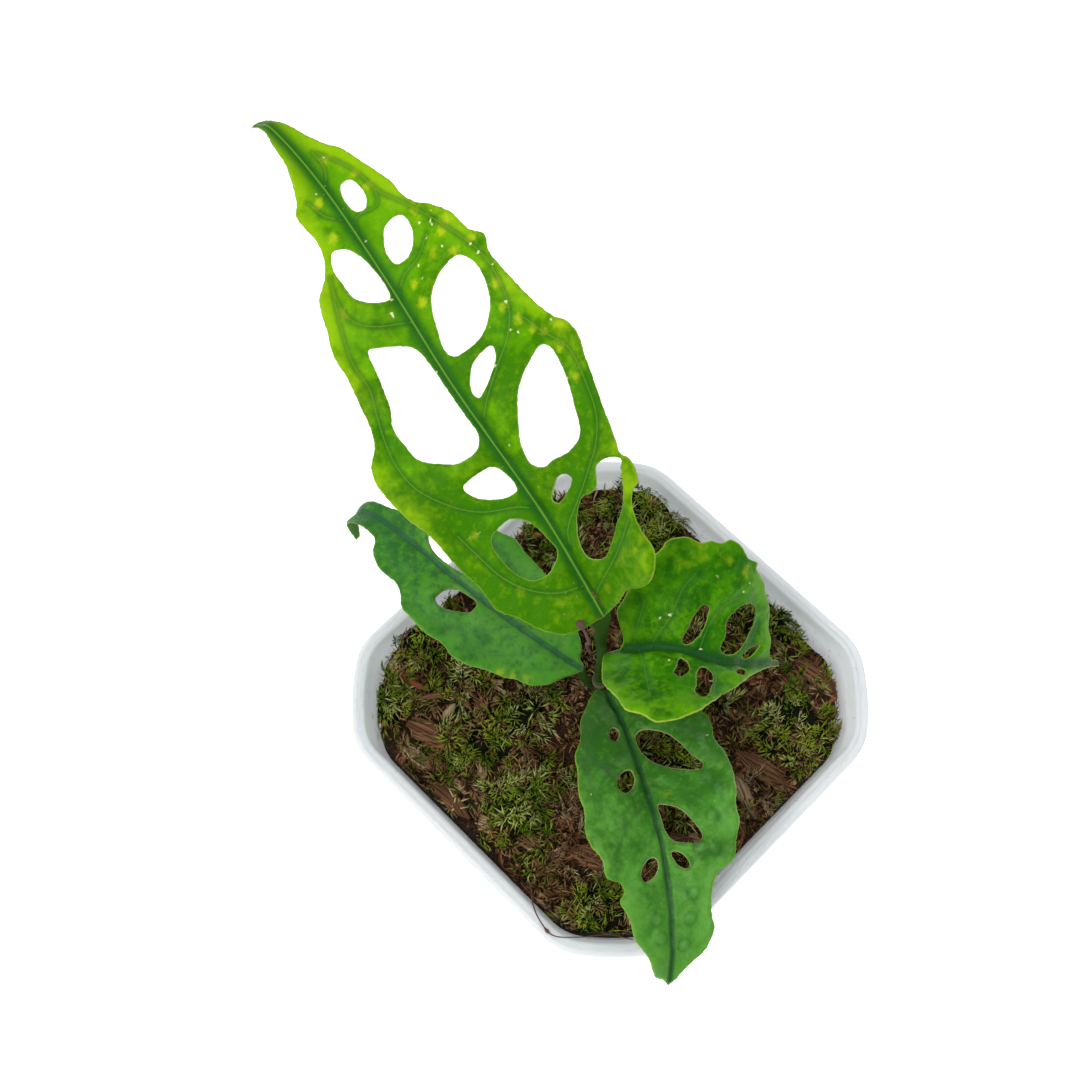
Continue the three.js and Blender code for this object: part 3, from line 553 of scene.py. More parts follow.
def crumb_bit(draw):
    """A crumb about a millimetre across."""
    angles = around(5)
    rings = []
    for z, reach in [(-0.35, 0.3), (0, 0.55), (0.35, 0.3)]:
        radius = reach * draw.uniform(0.7, 1.4, len(angles))
        level = z + draw.uniform(-0.1, 0.1, len(angles))
        rings.append(np.column_stack([radius * np.cos(angles), radius * np.sin(angles), level]))
    points, faces = skin(rings)
    return points, faces, draw.uniform(0, 1, len(points))


def husk_finish():
    """Coco husk: brown and stringy, some of it bleached."""
    look = Look("coco husk", Specular_IOR_Level=0.15)
    tint = look.attribute("tint")
    strings = look.noise(0.45, 4, 0.7)
    colour = look.paint(
        (0.04, 0.015, 0.007),
        (look.step(strings * 0.5 + look.attribute("tip") * 0.5, 0.3, 0.7), (0.38, 0.165, 0.072)),
        (look.step(tint, 0.75, 0.95) * 0.7, (0.6, 0.41, 0.24)),
        (look.step(tint, 0.35, 0) * 0.8, (0.02, 0.008, 0.004)))
    return look.finish(colour, 0.7 + strings * 0.25, strings, 0.3, 0.8)


loose_sets = [
    ("husk_chunks", husk_chunk, 10, dict(density=0.14, smallest=0.6, largest=1.15, tilt=0.6, seed=3)),
    ("husk_fibres", husk_fibre, 8, dict(density=0.16, smallest=0.6, largest=1.1, tilt=0.5, seed=4)),
    ("mix_crumbs", crumb_bit, 5, dict(density=0.5, smallest=0.5, largest=1.3, tilt=3.0, seed=5)),
]
husk_look = husk_finish()
strew_tree = scatter_tree("Strewn bits", False)
for name, make, kinds, spread in loose_sets:
    sheet = mix_surface(name, 1.5)
    strew(sheet, strew_tree, fibre_bits(name, make, kinds), husk_look, **spread)
    settle(sheet, "husk")

# Loose husk: eleven bigger torn chips, two sticks and one bent old root, dry coco and bark that lie on the
# mix as they fell. A chip is a bundle of coarse fibres round a core painted dark as the shade in the gaps
# between them, and its ends are frayed. A stick or root is one ridged strand, painted darker in its grooves
# as shade and lighter on its ridges.

loose_pieces = [
    ("husk_chip_1", [(-37, 29.4), (-33.6, 19.6)], 2.2, "husk"),
    ("husk_chip_2", [(-41.5, 26), (-40.5, 18)], 1.4, "pale_husk"),
    ("husk_chip_3", [(-42, 15), (-42.5, 3)], 1.6, "husk"),
    ("husk_chip_4", [(-31, -18), (-27, -27)], 2, "husk"),
    ("husk_chip_5", [(30, -19), (22, -14)], 1.9, "husk"),
    ("husk_chip_6", [(12, -29), (15, -43)], 2.1, "husk"),
    ("husk_chip_7", [(8, -32), (4, -43)], 1.5, "pale_husk"),
    ("husk_chip_8", [(39, -24), (39.5, -36)], 1.9, "husk"),
    ("husk_chip_9", [(20, 36), (29, 39)], 1.9, "husk"),
    ("husk_chip_10", [(-18, -30), (-10, -36)], 1.9, "husk"),
    ("husk_chip_11", [(11, 18), (4, 23)], 1.9, "husk"),
    ("red_stick", [(-30.4, 41), (-29.8, 36), (-28.6, 31.2)], 0.9, "red_stick"),
    ("pale_stick", [(-30.6, 24.2), (-26, 24.5)], 0.9, "pale_husk"),
    ("old_root", [(-32, 31.6), (-26.4, 27.8), (-24.2, 24.5), (-24.8, 20)], 0.8, "husk"),
]
loose_colours = {
    "husk": ((0.035, 0.013, 0.007), (0.34, 0.16, 0.075)),
    "pale_husk": ((0.14, 0.075, 0.035), (0.66, 0.47, 0.3)),
    "red_stick": ((0.1, 0.022, 0.014), (0.36, 0.095, 0.055)),
}


def smooth_curve(points, power=0, closed=False, per_span=24):
    """A Catmull-Rom curve through its points: power 0 is the uniform kind, and 0.5 the centripetal."""
    points = np.asarray(points, float)
    if closed:
        run = np.vstack([points[-1:], points, points[:2]])
    else:
        run = np.vstack([2 * points[0] - points[1], points, 2 * points[-1] - points[-2]])
    t = np.linspace(0, 1, per_span, endpoint=False)[:, None]
    spans = []
    for a, b, c, d in zip(run, run[1:], run[2:], run[3:]):
        g0, g1, g2 = (np.linalg.norm(q - p) ** power for p, q in [(a, b), (b, c), (c, d)])
        start = ((b - a) / g0 - (c - a) / (g0 + g1) + (c - b) / g1) * g1
        end = ((c - b) / g1 - (d - b) / (g1 + g2) + (d - c) / g2) * g1
        spans.append((2 * t**3 - 3 * t**2 + 1) * b + (t**3 - 2 * t**2 + t) * start
                     + (3 * t**2 - 2 * t**3) * c + (t**3 - t**2) * end)
    return np.vstack(spans) if closed else np.vstack([*spans, run[-2:-1]])


def traced(points, step, power=0, closed=False):
    """Points at even steps along the smooth curve through a few."""
    return evenly(smooth_curve(points, power, closed), step, closed)


def eased(stations, place):
    """A value that eases from one station (place, value) to the next."""
    at, values = np.asarray(stations, float).T
    span = np.clip(np.searchsorted(at, place, "right") - 1, 0, len(at) - 2)
    part = np.clip((place - at[span]) / (at[span + 1] - at[span]), 0, 1)
    return values[span] + (values[span + 1] - values[span]) * part**2 * (3 - 2 * part)


def fibrous_finish(name, dark, light):
    look = Look(name, Specular_IOR_Level=0.25)
    strings = look.noise(0.3, 4, 0.7)
    # The ridge mark lays the light colour over the dark one: its low values are painted shade, the core of a
    # chip and the grooves of a stick, and a chip's fibres each get a random tone.
    colour = look.paint(dark, (strings * 0.45 + look.attribute("ridge") * 0.55, light))
    return look.finish(colour, 0.7 + strings * 0.25, strings, 0.25, 0.8)


def lie_on_mix(path, reach):
    """The middle line of a piece that lies on the mix, with its half width and half depth along it."""
    raised = 0.6 * reach if reach > 1 else 2.2
    flat = np.array([(x, y, mix_top + lumps(x, y) + raised) for x, y in path])
    line = traced(flat, 0.35)
    part = np.linspace(0, 1, len(line))
    thick = max(0.55 * reach, 0.7)
    wide = eased([(0, 0.5 * reach), (0.3, reach), (0.75, 0.9 * reach), (1, 0.3 * reach)], part)
    deep = eased([(0, 0.6 * thick), (0.3, thick), (0.75, thick), (1, 0.5 * thick)], part)
    return line, wide, deep


def frayed_chip(name, path, reach, slot, seed):
    """Fibres that run along a core painted dark as shade, each from its own start to its own end, and part
    from it there.
    """
    draw = np.random.default_rng(seed)
    line, wide, deep = lie_on_mix(path, reach)
    # The core's mark of 0.04 gives it the dark colour: painted shade in the gaps between the fibres. Each
    # fibre's own mark is a random tone.
    parts = [(*skin(tube_rings(line, 0.8 * wide, 0.8 * deep, sides=16)), 0.04)]
    strands = tube_rings(line, 0.25 * reach + 0.7 * wide, 0.25 * reach + 0.65 * deep, sides=round(11 * reach))
    for strand in np.swapaxes(strands, 0, 1):
        first = int(draw.uniform(0, 0.3) * len(line))
        last = int(draw.uniform(0.72, 1) * len(line))
        along = np.linspace(0, 1, last - first)
        swing = np.sin(draw.uniform(2, 7) * along + draw.uniform(0, 6))
        drift = (along - 0.5)[:, None] * draw.normal(0, 0.45, 3) * (1, 1, 0.5)
        fibre = strand[first:last] + 0.4 * swing[:, None] * unit(draw.normal(0, 1, 3)) + drift
        radius = draw.uniform(0.12, 0.5) * np.sin(math.pi * (0.1 + 0.8 * along)) * (1 + 0.25 * swing)
        sides = skin(tube_rings(fibre, radius, sides=5, across=(0.3, 0.2, 1)))
        parts.append((*sides, draw.uniform(0.15, 1)))
    points, faces, ridge = bundle(parts)
    piece = add_piece(f"{name}_torn", points, faces, loose_looks[slot], ridge=ridge)
    keep_in_pot(piece)
    settle(piece, slot, name)


def swollen(rings, line, factor):
    """Rings with each point drawn in or out from their middle line."""
    return line[:, None] + (rings - line[:, None]) * factor[..., None]


def ridged_strand(name, path, reach, slot, seed):
    """Rings along the path, with ridges that run lengthwise, and end rings set back unevenly."""
    draw = np.random.default_rng(seed)
    line, wide, deep = lie_on_mix(path, reach)
    sides = 30
    turn, part = around(sides), np.linspace(0, 1, len(line))[:, None]
    ridge = np.sin(9 * turn + 3 * np.sin(2 * turn) + seed) * 0.6 + np.sin(14 * turn + seed) * 0.4
    ridge = ridge + 0.5 * np.sin(5 * part * 6 + 3 * turn) + draw.normal(0, 0.25, (len(line), sides))
    rings = swollen(tube_rings(line, wide, deep, sides=sides), line, 0.93 + 0.09 * ridge)
    heading = unit(line[-1] - line[0])
    ragged = draw.uniform(-1, 0.2, sides) * 0.6 * reach
    rings[0] -= ragged[:, None] * heading
    rings[-1] += ragged[::-1, None] * heading
    # Lighter on the ridges and darker in the grooves between them: painted shade that follows the mesh.
    shade = np.append(np.clip(0.5 + 0.35 * ridge, 0, 1).ravel(), [0.5, 0.5])
    piece = add_piece(f"{name}_torn", *skin(rings), loose_looks[slot], ridge=shade)
    settle(piece, slot, name)


loose_looks = {slot: fibrous_finish(slot, *colours) for slot, colours in loose_colours.items()}
for seed, (name, path, reach, slot) in enumerate(loose_pieces, 1):
    make = frayed_chip if reach > 1 else ridged_strand
    make(name, path, reach, slot, seed)

# Moss: nine low cushions of living moss, with looser shoots of it all over the mix. Each shoot is a soft
# stalk with needle leaves in a spiral, painted near black below as the shade down in the tuft and bright at
# the tips, and some are pale open stars.

moss_height, first_seed, dome_sides, dome_levels = 3.6, 31, 44, 18
cushions = [
    ("moss_left", (-37.5, 36.8), (5.2, 5)),
    ("moss_middle", (-20, 13), (11, 5.5)),
    ("moss_near", (-32, -2), (6, 6.5)),
    ("moss_corner", (-36, -33), (8, 7)),
    ("moss_under_leaf", (-3, -16), (9, 7)),
    ("moss_right", (26, -34), (9, 9)),
    ("moss_wall", (40, -12), (5, 8)),
    ("moss_back", (38.5, 25), (6.5, 11)),
    ("moss_top", (-21.5, 41.6), (5.5, 4.6)),
]
shoot_kinds = [
    dict(height=6, leaves=20, leaf_length=3.7, lean=0.55, leaf_radius=0.27, droop=0),
    dict(height=4.4, leaves=20, leaf_length=3, lean=0.8, leaf_radius=0.22, droop=0.05),
    dict(height=2.8, leaves=11, leaf_length=5, lean=1.15, leaf_radius=0.3, droop=0.25),
]
kind_shares = [0.45, 0.3, 0.25]
spindle_faces = [(0, 2, 1), (0, 3, 2), (0, 1, 3), (4, 1, 2), (4, 2, 3), (4, 3, 1)]


def moss_shoot(draw, height, leaves, leaf_length, lean, leaf_radius, droop):
    """A stalk with spindle leaves round it. The tips are marked from 0 at the foot to 1 at the leaf ends."""
    bend = draw.uniform(-0.45, 0.45, 2)
    part = np.linspace(0, 1, 4)
    stalk = np.column_stack([bend[0] * height * part**2, bend[1] * height * part**2, height * part])
    stalk = skin(tube_rings(stalk, 0.15 * (1 - 0.6 * part), sides=3, across=(1, 0.1, 0)))
    parts = [(*stalk, np.append(np.repeat(0.5 * part, 3), [0, 0.5]))]
    for number in range(leaves):
        level = 0.12 + 0.88 * (number + 1) / leaves
        root = np.array([bend[0] * height * level**2, bend[1] * height * level**2, height * level])
        turn = 2.4 * number + draw.uniform(-0.4, 0.4)
        angle = lean * (1.25 - 0.55 * level) + draw.uniform(-0.2, 0.2)
        sideways = math.sin(angle)
        heading = np.array([sideways * math.cos(turn), sideways * math.sin(turn), math.cos(angle)])
        across = unit(np.cross(heading, (0.1, 0.2, 1)))
        other = np.cross(heading, across)
        long = leaf_length * draw.uniform(0.7, 1.2)
        middle = root + heading * long * 0.45
        tip = root + heading * long + np.array([0, 0, (draw.uniform(-0.1, 0.2) - droop) * long])
        girdle = [middle + leaf_radius * (across * math.cos(a) + 0.5 * other * math.sin(a))
                  for a in (0.3, 2.4, 4.5)]
        parts.append((np.array([root, *girdle, tip]), spindle_faces, [0.25 * level, 0.65, 0.65, 0.65, 1]))
    return bundle(parts)


def any_moss_shoot(draw):
    """One of three kinds: a soft brush, a fuzzy low one or an open star."""
    kind = draw.choice(len(shoot_kinds), p=kind_shares)
    return moss_shoot(draw, **shoot_kinds[kind])


def moss_finish(name, deep, leaf, bright, pale, dead):
    """Leaves bright at their ends and painted dark as shade at the foot of each shoot, with some odd shoots.
    """
    look = Look(name, Specular_IOR_Level=0.1)
    tint = look.attribute("tint")
    fresh = look.paint(
        leaf, (look.step(look.noise(7) + tint * 0.3, 0.5, 0.8), bright),
        (look.step(tint, 0.72, 0.9), pale), (look.step(tint, 0.25, 0.12), dead))
    # Near the foot of each shoot the deep colour takes over: painted shade down in the tuft.
    colour = look.paint(deep, (look.step(look.attribute("tip"), 0.2, 0.95), fresh))
    return look.finish(colour, 0.7 + tint * 0.2)


def moss_dome(name, at, reach, phase):
    """A lumpy low dome. Its underside is drawn up under the surface of the mix."""
    turn = around(dome_sides)
    swell = 1 + 0.09 * np.sin(3 * turn + phase) + 0.06 * np.sin(5 * turn)
    rings = []
    for tilt in np.linspace(-math.pi / 2 + 0.15, math.pi / 2 - 0.05, dome_levels):
        x = at[0] + reach[0] * swell * math.cos(tilt) * np.cos(turn)
        y = at[1] + reach[1] * swell * math.cos(tilt) * np.sin(turn)
        height = 0.72 * moss_height * math.sin(tilt) - 0.6
        z = mix_top + np.maximum(lumps(*at) + height, lumps(x, y) - 1.2)
        share = room_in_pot(x, y)
        rings.append(np.column_stack([x * share, y * share, z]))
    points, faces = skin(rings)
    x, y, z = points.T
    room = (z > mix_top + lumps(x, y) - 0.2) * np.clip(0.7 + 0.6 * clumps(x, y), 0.2, 1)
    return add_piece(f"{name}_shoots", points, faces, None, room=room)


def green_patches(x, y):
    """Where the moss between the cushions is green, from 0 to 1."""
    broad = np.sin(x / 9 + 1.3 * np.sin(y / 11)) * np.cos(y / 8 + 1.1 * np.sin(x / 10))
    return np.clip(0.5 + 1.6 * broad, 0.05, 1)


def dead_patches(x, y):
    return 1 - green_patches(x, y)


# Each deep colour, near black, is the painted shade at the foot of the shoots.
moss_look = moss_finish(
    "moss", deep=(0.005, 0.008, 0.002), leaf=(0.12, 0.23, 0.008), bright=(0.4, 0.49, 0.034),
    pale=(0.64, 0.68, 0.24), dead=(0.36, 0.22, 0.09))
dead_look = moss_finish(
    "dead moss", deep=(0.012, 0.006, 0.003), leaf=(0.2, 0.085, 0.035), bright=(0.4, 0.22, 0.1),
    pale=(0.55, 0.42, 0.22), dead=(0.2, 0.2, 0.03))
moss_bits = fibre_bits("moss_shoots", any_moss_shoot, 16)
cushion_tree = scatter_tree("Moss cushion", True)
for number, (name, at, reach) in enumerate(cushions):
    dome = moss_dome(name, at, reach, number)
    strew(dome, cushion_tree, moss_bits, moss_look, density=0.38, smallest=0.55, largest=1, tilt=0.7,
          seed=first_seed + number)
    settle(dome, "moss", name)
for name, share, finish, slot, density, seed in [
    ("moss_between", green_patches, moss_look, "moss", 0.26, 8),
    ("dead_moss_between", dead_patches, dead_look, "husk", 0.2, 9),
]:
    sheet = mix_surface(name, 1.2, share)
    strew(sheet, strew_tree, moss_bits, finish, density, smallest=0.5, largest=1.05, tilt=1.15, seed=seed)
    settle(sheet, slot)

# Stem: a short green stem with a swollen node under each leaf, rooted in a plain hole in the mix. A ring of
# pinkish grey cork at the top node is the scar of a leaf that has dropped.

stem_tip, stem_radius = (-0.6, 3, 93), 1.6
node_swellings = [(0.3, 2.1), (0.5, 1.9), (0.7, 1.9), (0.9, 1.8)]


def hump(distance, width):
    """1 at no distance, which falls off to nothing over a few widths."""
    return np.exp(-((distance / width) ** 2))


def stem_finish():
    look = Look("stem", Specular_IOR_Level=0.4, Subsurface_Weight=0.1, Subsurface_Scale=0.002)
    fine = look.noise(0.5, 4, 0.65)
    colour = look.paint((0.02, 0.06, 0.01), (fine, (0.06, 0.12, 0.025)),
                        (look.step(look.attribute("scar") + fine * 0.5, 0.55, 0.9), (0.3, 0.17, 0.14)))
    return look.finish(colour, 0.45 + fine * 0.2, fine, 0.15, 0.6)


def make_stem():
    stations = [(0, 2)]
    for at, radius in node_swellings:
        stations += [(at - 0.07, stem_radius), (at, radius), (at + 0.07, stem_radius)]
    part = np.linspace(0, 1, 90)
    line = np.outer(1 - part, stem_foot) + np.outer(part, stem_tip)
    collars = sum(0.12 * hump(part - at - 0.025, 0.006) for at, _ in node_swellings)
    radius = eased([*stations, (1, 1.3)], part) + collars
    radius[-4:] *= (0.93, 0.8, 0.55, 0.2)
    sides = 32
    rings = tube_rings(line, radius, sides=sides, across=(1, 0, 0))
    scar = hump(part - 0.9, 0.05) + 0.5 * hump(part - 0.7, 0.03)
    marks = np.append(np.repeat(scar, sides), [0, 0])
    stem = add_piece("stem_shoot", *skin(rings), stem_finish(), scar=marks)
    settle(stem, "stem", "stem")


make_stem()

# Leaves: each is a thin blade with waved margins and natural holes, grown as one with its slim petiole. The
# midrib lies in a channel above and stands out below, the side veins curve to meet near the margin, and the
# blade swells between them. It is laid out by the way along its rib and the way out, with the left below 0.

blade_thickness, far_off = 0.36, 9
edge_step, hole_step, rib_step, vein_step = 0.5, 0.45, 0.55, 0.5
margin_wear, hole_wear = 0.05, 0.04
rib_lines, vein_lines, rib_clear = (0, -0.28, 0.28, -0.7, 0.7, -1.3, 1.3), (0, -0.3, 0.3), 1.6
fine_swell, broad_swell = (1.9, 1), (5.5, 2)
leaves = [dict(
    name="leaf_large", slot="leaf_bright", step=0.8,
    relief=dict(depth=0.7, width=1.5, raised=0.3, pucker=0.5), wave=dict(height=0.6, length=23, reach=24),
    face=(-0.3, -0.3, 1),
    rib=[(-5, 0, 148), (-0.5, 22, 157), (3.5, 50.5, 166), (9, 75, 170.5), (14, 98, 172), (17, 117, 170),
         (17, 124, 166), (16, 125.5, 162.5)],
    left_fold=[(0, 12), (60, 8), (134, 4)], right_fold=[(0, 52), (30, 36), (60, 10), (134, 10)],
    left_margin=[(0, 0), (1, -6.5), (2.5, -9.5), (6.5, -13), (10, -15), (14, -18), (19, -18.5), (25, -20),
                 (33.5, -21), (38, -22.5), (44, -23.5), (47.5, -23.5), (50.5, -22.5), (53, -20), (56, -18.5),
                 (63, -17.5), (68, -17), (73, -17), (78, -15.5), (82, -14.5), (84.5, -13.5), (86.5, -11.5),
                 (88, -10), (92, -8), (96, -7.5), (100, -8), (102.5, -8), (105.5, -6.2), (110.5, -4.3),
                 (115, -3), (120, -2.5), (125, -1.5), (133, -0.8)],
    right_margin=[(0, 0), (1, 6), (2.5, 11), (1.5, 14.5), (2, 18.5), (4, 21), (6.5, 22.5), (11, 21),
                  (14.5, 20.8), (17.5, 22.3), (18.5, 24.5), (20.5, 25), (23, 24.5), (24.4, 23.3), (27, 23.9),
                  (31, 25), (35, 25.8), (39, 26.3), (43, 26.5), (47.5, 27), (51, 26), (53, 24.5), (57, 23),
                  (61.5, 22), (67, 21), (71, 20.5), (74.5, 21.5), (77.5, 19.5), (82.5, 18.5), (86.5, 16),
                  (89, 13.7), (92, 12.3), (95.5, 12), (100.5, 10.5), (105.5, 9), (109, 8), (112.5, 6),
                  (117.5, 4.2), (122.5, 3), (126.5, 1.8), (133, 0.8)],
    holes=[
        [(102.5, 3), (102.5, 5), (100.5, 6), (97, 6), (95, 4.5), (96, 2.5), (99.5, 2)],
        [(89, 5.5), (89.5, 8), (88.5, 10), (85, 10), (82.5, 8.5), (81, 6), (81.5, 3.5), (84.5, 3), (87, 4)],
        [(91.5, -6), (90.5, -3.5), (85.5, -1.3), (76.5, -1.5), (80, -7), (85.5, -7.8), (88.5, -7.8)],
        [(72.5, 7), (74.5, 11), (74.5, 15), (70.5, 17), (64.5, 16), (61.5, 14), (59, 10.5), (58.5, 7.5),
         (59, 3.5), (61, 2.5), (65.5, 3.5), (70, 5)],
        [(52.5, 3), (55.5, 5.8), (56.3, 9), (56, 11), (54, 10.5), (51.5, 7.5), (49.5, 3), (51, 2.5)],
        [(70, -10.5), (69, -8), (67, -4.5), (65, -2.4), (61, -1.6), (54.5, -1.4), (49, -1.4), (43.5, -1.6),
         (41.5, -3.5), (41.5, -8), (43.5, -11), (46.5, -14), (50, -14.5), (54.5, -14.5), (57.5, -13),
         (64.5, -11.5)],
        [(46, 11), (49, 16), (50, 19.5), (48.5, 20.8), (42, 21), (37, 20), (32, 18), (30.5, 14), (31, 9),
         (31, 6.5), (33, 4.5), (37, 5), (40.5, 7)],
        [(37, -10), (37.5, -6.5), (37, -3), (34.5, -1.6), (30.5, -1.6), (30.5, -4), (32, -7), (34.5, -9.5)],
        [(26.3, 5.5), (27.7, 8), (27.3, 10), (26, 10.6), (25, 9.5), (23.7, 6), (23.7, 4.5), (25, 4)],
        [(25, 17), (25.3, 19), (23.6, 22.8), (21.5, 22), (16, 18.3), (14.5, 16), (11.5, 12), (10, 8.5),
         (12, 4.5), (16.5, 5), (21.7, 10), (21.8, 14.5)],
        [(26.7, -6.5), (26, -5), (23.5, -3), (20, -2), (16, -1.5), (14.5, -3), (13.5, -6), (14.5, -9),
         (17.5, -11), (22, -12), (25.5, -11.5), (26.5, -9)],
    ],
    veins=[
        [(44.5, 0), (46.7, 2.5), (52.4, 9.9), (56.2, 14.7), (60.8, 18.1), (68.1, 19.3), (73.8, 18.5),
         (81.5, 15.8), (89.1, 12.4), (96, 8.8), (104, 7), (112, 3.5)],
        [(15, 1.3), (18.2, 3.2), (21.4, 7.9), (25.1, 14.5), (28.2, 19.4), (32.5, 22.7), (39.2, 24),
         (46, 24.1), (52, 21), (57, 19.2)],
        [(4.4, 0.9), (7.1, 6.8), (10.4, 14.1), (13.7, 18.7)],
        [(24.5, 0), (27.2, -2.7), (31.4, -10.2), (36.7, -15), (42.2, -17.8), (47.4, -18.3), (53, -17.3),
         (58.4, -15.8), (63.3, -14.4), (70, -14.5), (78, -12.5), (85, -10)],
        [(7.2, 0), (9.6, -6.1), (14, -11), (18.9, -13.9), (24, -15.3), (30, -16.5)],
        [(70, 0), (73.2, -6.9), (76.1, -9.9), (79.7, -10.8), (83.9, -10.2), (87.3, -9.2)],
        [(76, 0), (79, 4), (80, 8), (82.5, 12)],
        [(92, 0), (95, 2), (94, 7), (98, 8.5)],
        [(104, 0), (108, 2.6), (113, 2.8)],
        [(96, 0), (99, -3), (104, -4.5)],
    ],
    scars=[(85.7, 15.1), (84.3, 14), (83, 13.8), (81.7, 11.6), (85.1, 12), (78.9, 17.6), (77.8, 13.3),
           (78.5, 7.1), (75.4, 6.5), (75, 18.1), (72.6, 18.5), (68.7, 19.8), (59.5, 12.6), (55.4, 16.8),
           (56.5, 15.7), (52.5, 9.3), (58.7, -1.3), (73.7, -2.6), (72.6, -2.9), (76.2, -1.1), (41.8, 21),
           (52.7, 23.5), (61.2, 18), (64.3, -1.8), (104.5, -1.8), (91.6, -2.7), (110.2, 3.8), (89.5, 0.9),
           (38.7, 2.8), (28, -13.3), (28.2, -12.2), (28.1, -14.7), (28.7, 9.3)],
    yellows=[(88.4, 12.4), (82.2, 16.5), (81, 14.9), (76, 18.7), (75.8, 14.7), (75.9, 4.5), (71.5, 3.8),
             (78.1, 10.7), (65.4, 18.4), (61, 16.7), (57.3, 18.3), (54.1, 19.5), (52.2, 21.1), (50.9, 24.5),
             (47.3, 22.7), (41.1, 22.7), (102.4, -2.7), (93.9, -4.3), (103.1, 6.9), (98.6, 7.7), (109.9, 4),
             (78.9, -11), (28, -13.5), (8.2, 18.7), (7.9, 13.7), (4.2, 5.8), (9.3, 20.9), (14.2, -11.9),
             (7.5, -6.2), (3.6, -1.2)],
    wounds=[(2.2, 1.3), (3, 1.1), (4, 0.7), (5, 0.5)],
    blisters=[],
    petiole=[(-0.6, 3, 90), (-1.4, 2.6, 103), (-2.4, 1.7, 114), (-2.9, 2, 127), (-4.2, 1.1, 140),
             (-5, 1.2, 147.4)],
    sizes=[(0, 1.1, 1.1), (0.5, 1.1, 1.1), (0.8, 1.5, 1.2), (0.95, 2.3, 1), (1, 1.8, 0.9)],
    finish=dict(
        gloss=0.08, dark=(0.052, 0.205, 0.001), light=(0.14, 0.39, 0.001), bright=(0.36, 0.59, 0.003),
        rib_line=(0.19, 0.4, 0.02), channel=(0.016, 0.11, 0.012), vein_line=(0.19, 0.4, 0.015),
        rim=(0.34, 0.42, 0.03), hole_rim=(0.38, 0.46, 0.1), band=2.4, shade=0.5, youth=0.55, spotty=0.22,
        fade=0.85, pale_edge=0.7),
), dict(
    name="leaf_left", slot="leaf_dark", step=0.65,
    relief=dict(depth=0.45, width=1, raised=0.08, pucker=0.6), wave=dict(height=0.5, length=17, reach=14),
    face=(-0.15, 0, 1),
    rib=[(-2.5, 5, 96), (-6, 16, 101), (-9.5, 34, 105), (-11, 55, 105), (-12, 66.3, 101.8), (-14.2, 70, 96.6),
         (-15.4, 68.2, 91.2)],
    left_fold=[(0, 14), (80, 14)], right_fold=[(0, 14), (80, 14)],
    left_margin=[(1.5, 0), (2, -1.2), (4.5, -4), (7, -7.5), (10.5, -10), (13.5, -10.7), (16.5, -12),
                 (19.5, -12.7), (24, -14.5), (28, -15), (31, -14), (35.5, -14.5), (40, -14), (43, -13.5),
                 (45, -11.5), (47.5, -10), (51, -10), (53.5, -9.5), (56.5, -7.5), (57.3, -6), (58.5, -4.7),
                 (62, -4), (66, -3.6), (71, -2.5), (78.5, -0.7)],
    right_margin=[(1.5, 0), (2, 1), (3.5, 1.8), (4.5, 3.8), (7.5, 6.5), (14, 10.5), (20.5, 13), (27, 14.5),
                  (30, 15.5), (34, 14.5), (40, 13), (48, 10), (55, 5), (61, 3.2), (65, 3), (70, 2.2),
                  (78.5, 0.7)],
    holes=[
        [(38, -7), (37.5, -4), (35.5, -2), (33, -1.4), (30, -1.4), (30, -4), (32, -5.5), (35.5, -7.3)],
        [(48, 4), (46, 2), (43, 1.4), (39, 1.6), (35, 2.5), (33, 5), (35, 8), (40, 9), (45, 8), (48, 6)],
    ],
    veins=[
        [(5, 0), (8, -4), (13, -7.5)],
        [(12, 0), (15.5, -5), (21, -9.5), (27, -11.5)],
        [(21, 0), (24, -4.5), (29, -8.5), (36, -11), (42, -11)],
        [(41, 0), (44, -4), (48, -7), (53, -7)],
        [(8, 0), (12, 5), (18, 9.5)],
        [(18, 0), (22, 5.5), (28, 10.5), (36, 11.5)],
        [(28, 0), (31, 5), (33, 9)],
        [(50, 0), (53, 2.5), (58, 2.8)],
    ],
    scars=[(9, -8.5), (24, 3)],
    yellows=[(17.1, -11.4), (11.8, -9.2), (14.5, -10.6)],
    wounds=[],
    blisters=[],
    petiole=[(-0.4, 2.6, 84), (-2.2, 4.4, 88), (-3, 5.7, 92.5), (-3.1, 6.9, 96.3)],
    sizes=[(0, 0.9, 0.9), (0.7, 0.9, 0.9), (1, 1, 0.8)],
    finish=dict(
        gloss=0.28, dark=(0.032, 0.15, 0.026), light=(0.094, 0.292, 0.042), bright=(0.085, 0.35, 0.014),
        rib_line=(0.035, 0.13, 0.05), channel=(0.026, 0.115, 0.045), vein_line=(0.06, 0.2, 0.05),
        rim=(0.3, 0.46, 0.05), hole_rim=(0.42, 0.22, 0.14), band=1, shade=0.16, youth=-0.5, spotty=0.8,
        fade=0.9, pale_edge=0.4),
), dict(
    name="leaf_folded", slot="leaf_mid", step=0.65,
    relief=dict(depth=0.8, width=1.4, raised=0.1, pucker=0.7), wave=dict(height=0.4, length=15, reach=22),
    face=(0, 0, 1),
    rib=[(-1, -2, 124), (5, -9.5, 128.5), (9, -15.5, 127.5), (13, -20, 123.5), (18, -22.5, 117.5),
         (22.5, -24, 111), (26.5, -25, 105)],
    left_fold=[(0, 30), (25, 30), (50, 20)], right_fold=[(0, 36), (25, 30), (50, 20)],
    left_margin=[(0, 0), (1.5, -2.5), (1.5, -5), (2, -8.5), (5.5, -12), (9.5, -18.5), (11.5, -20.5),
                 (12.5, -23), (14.5, -24), (16, -23.2), (17.5, -24), (19, -23.8), (20, -25), (22, -24),
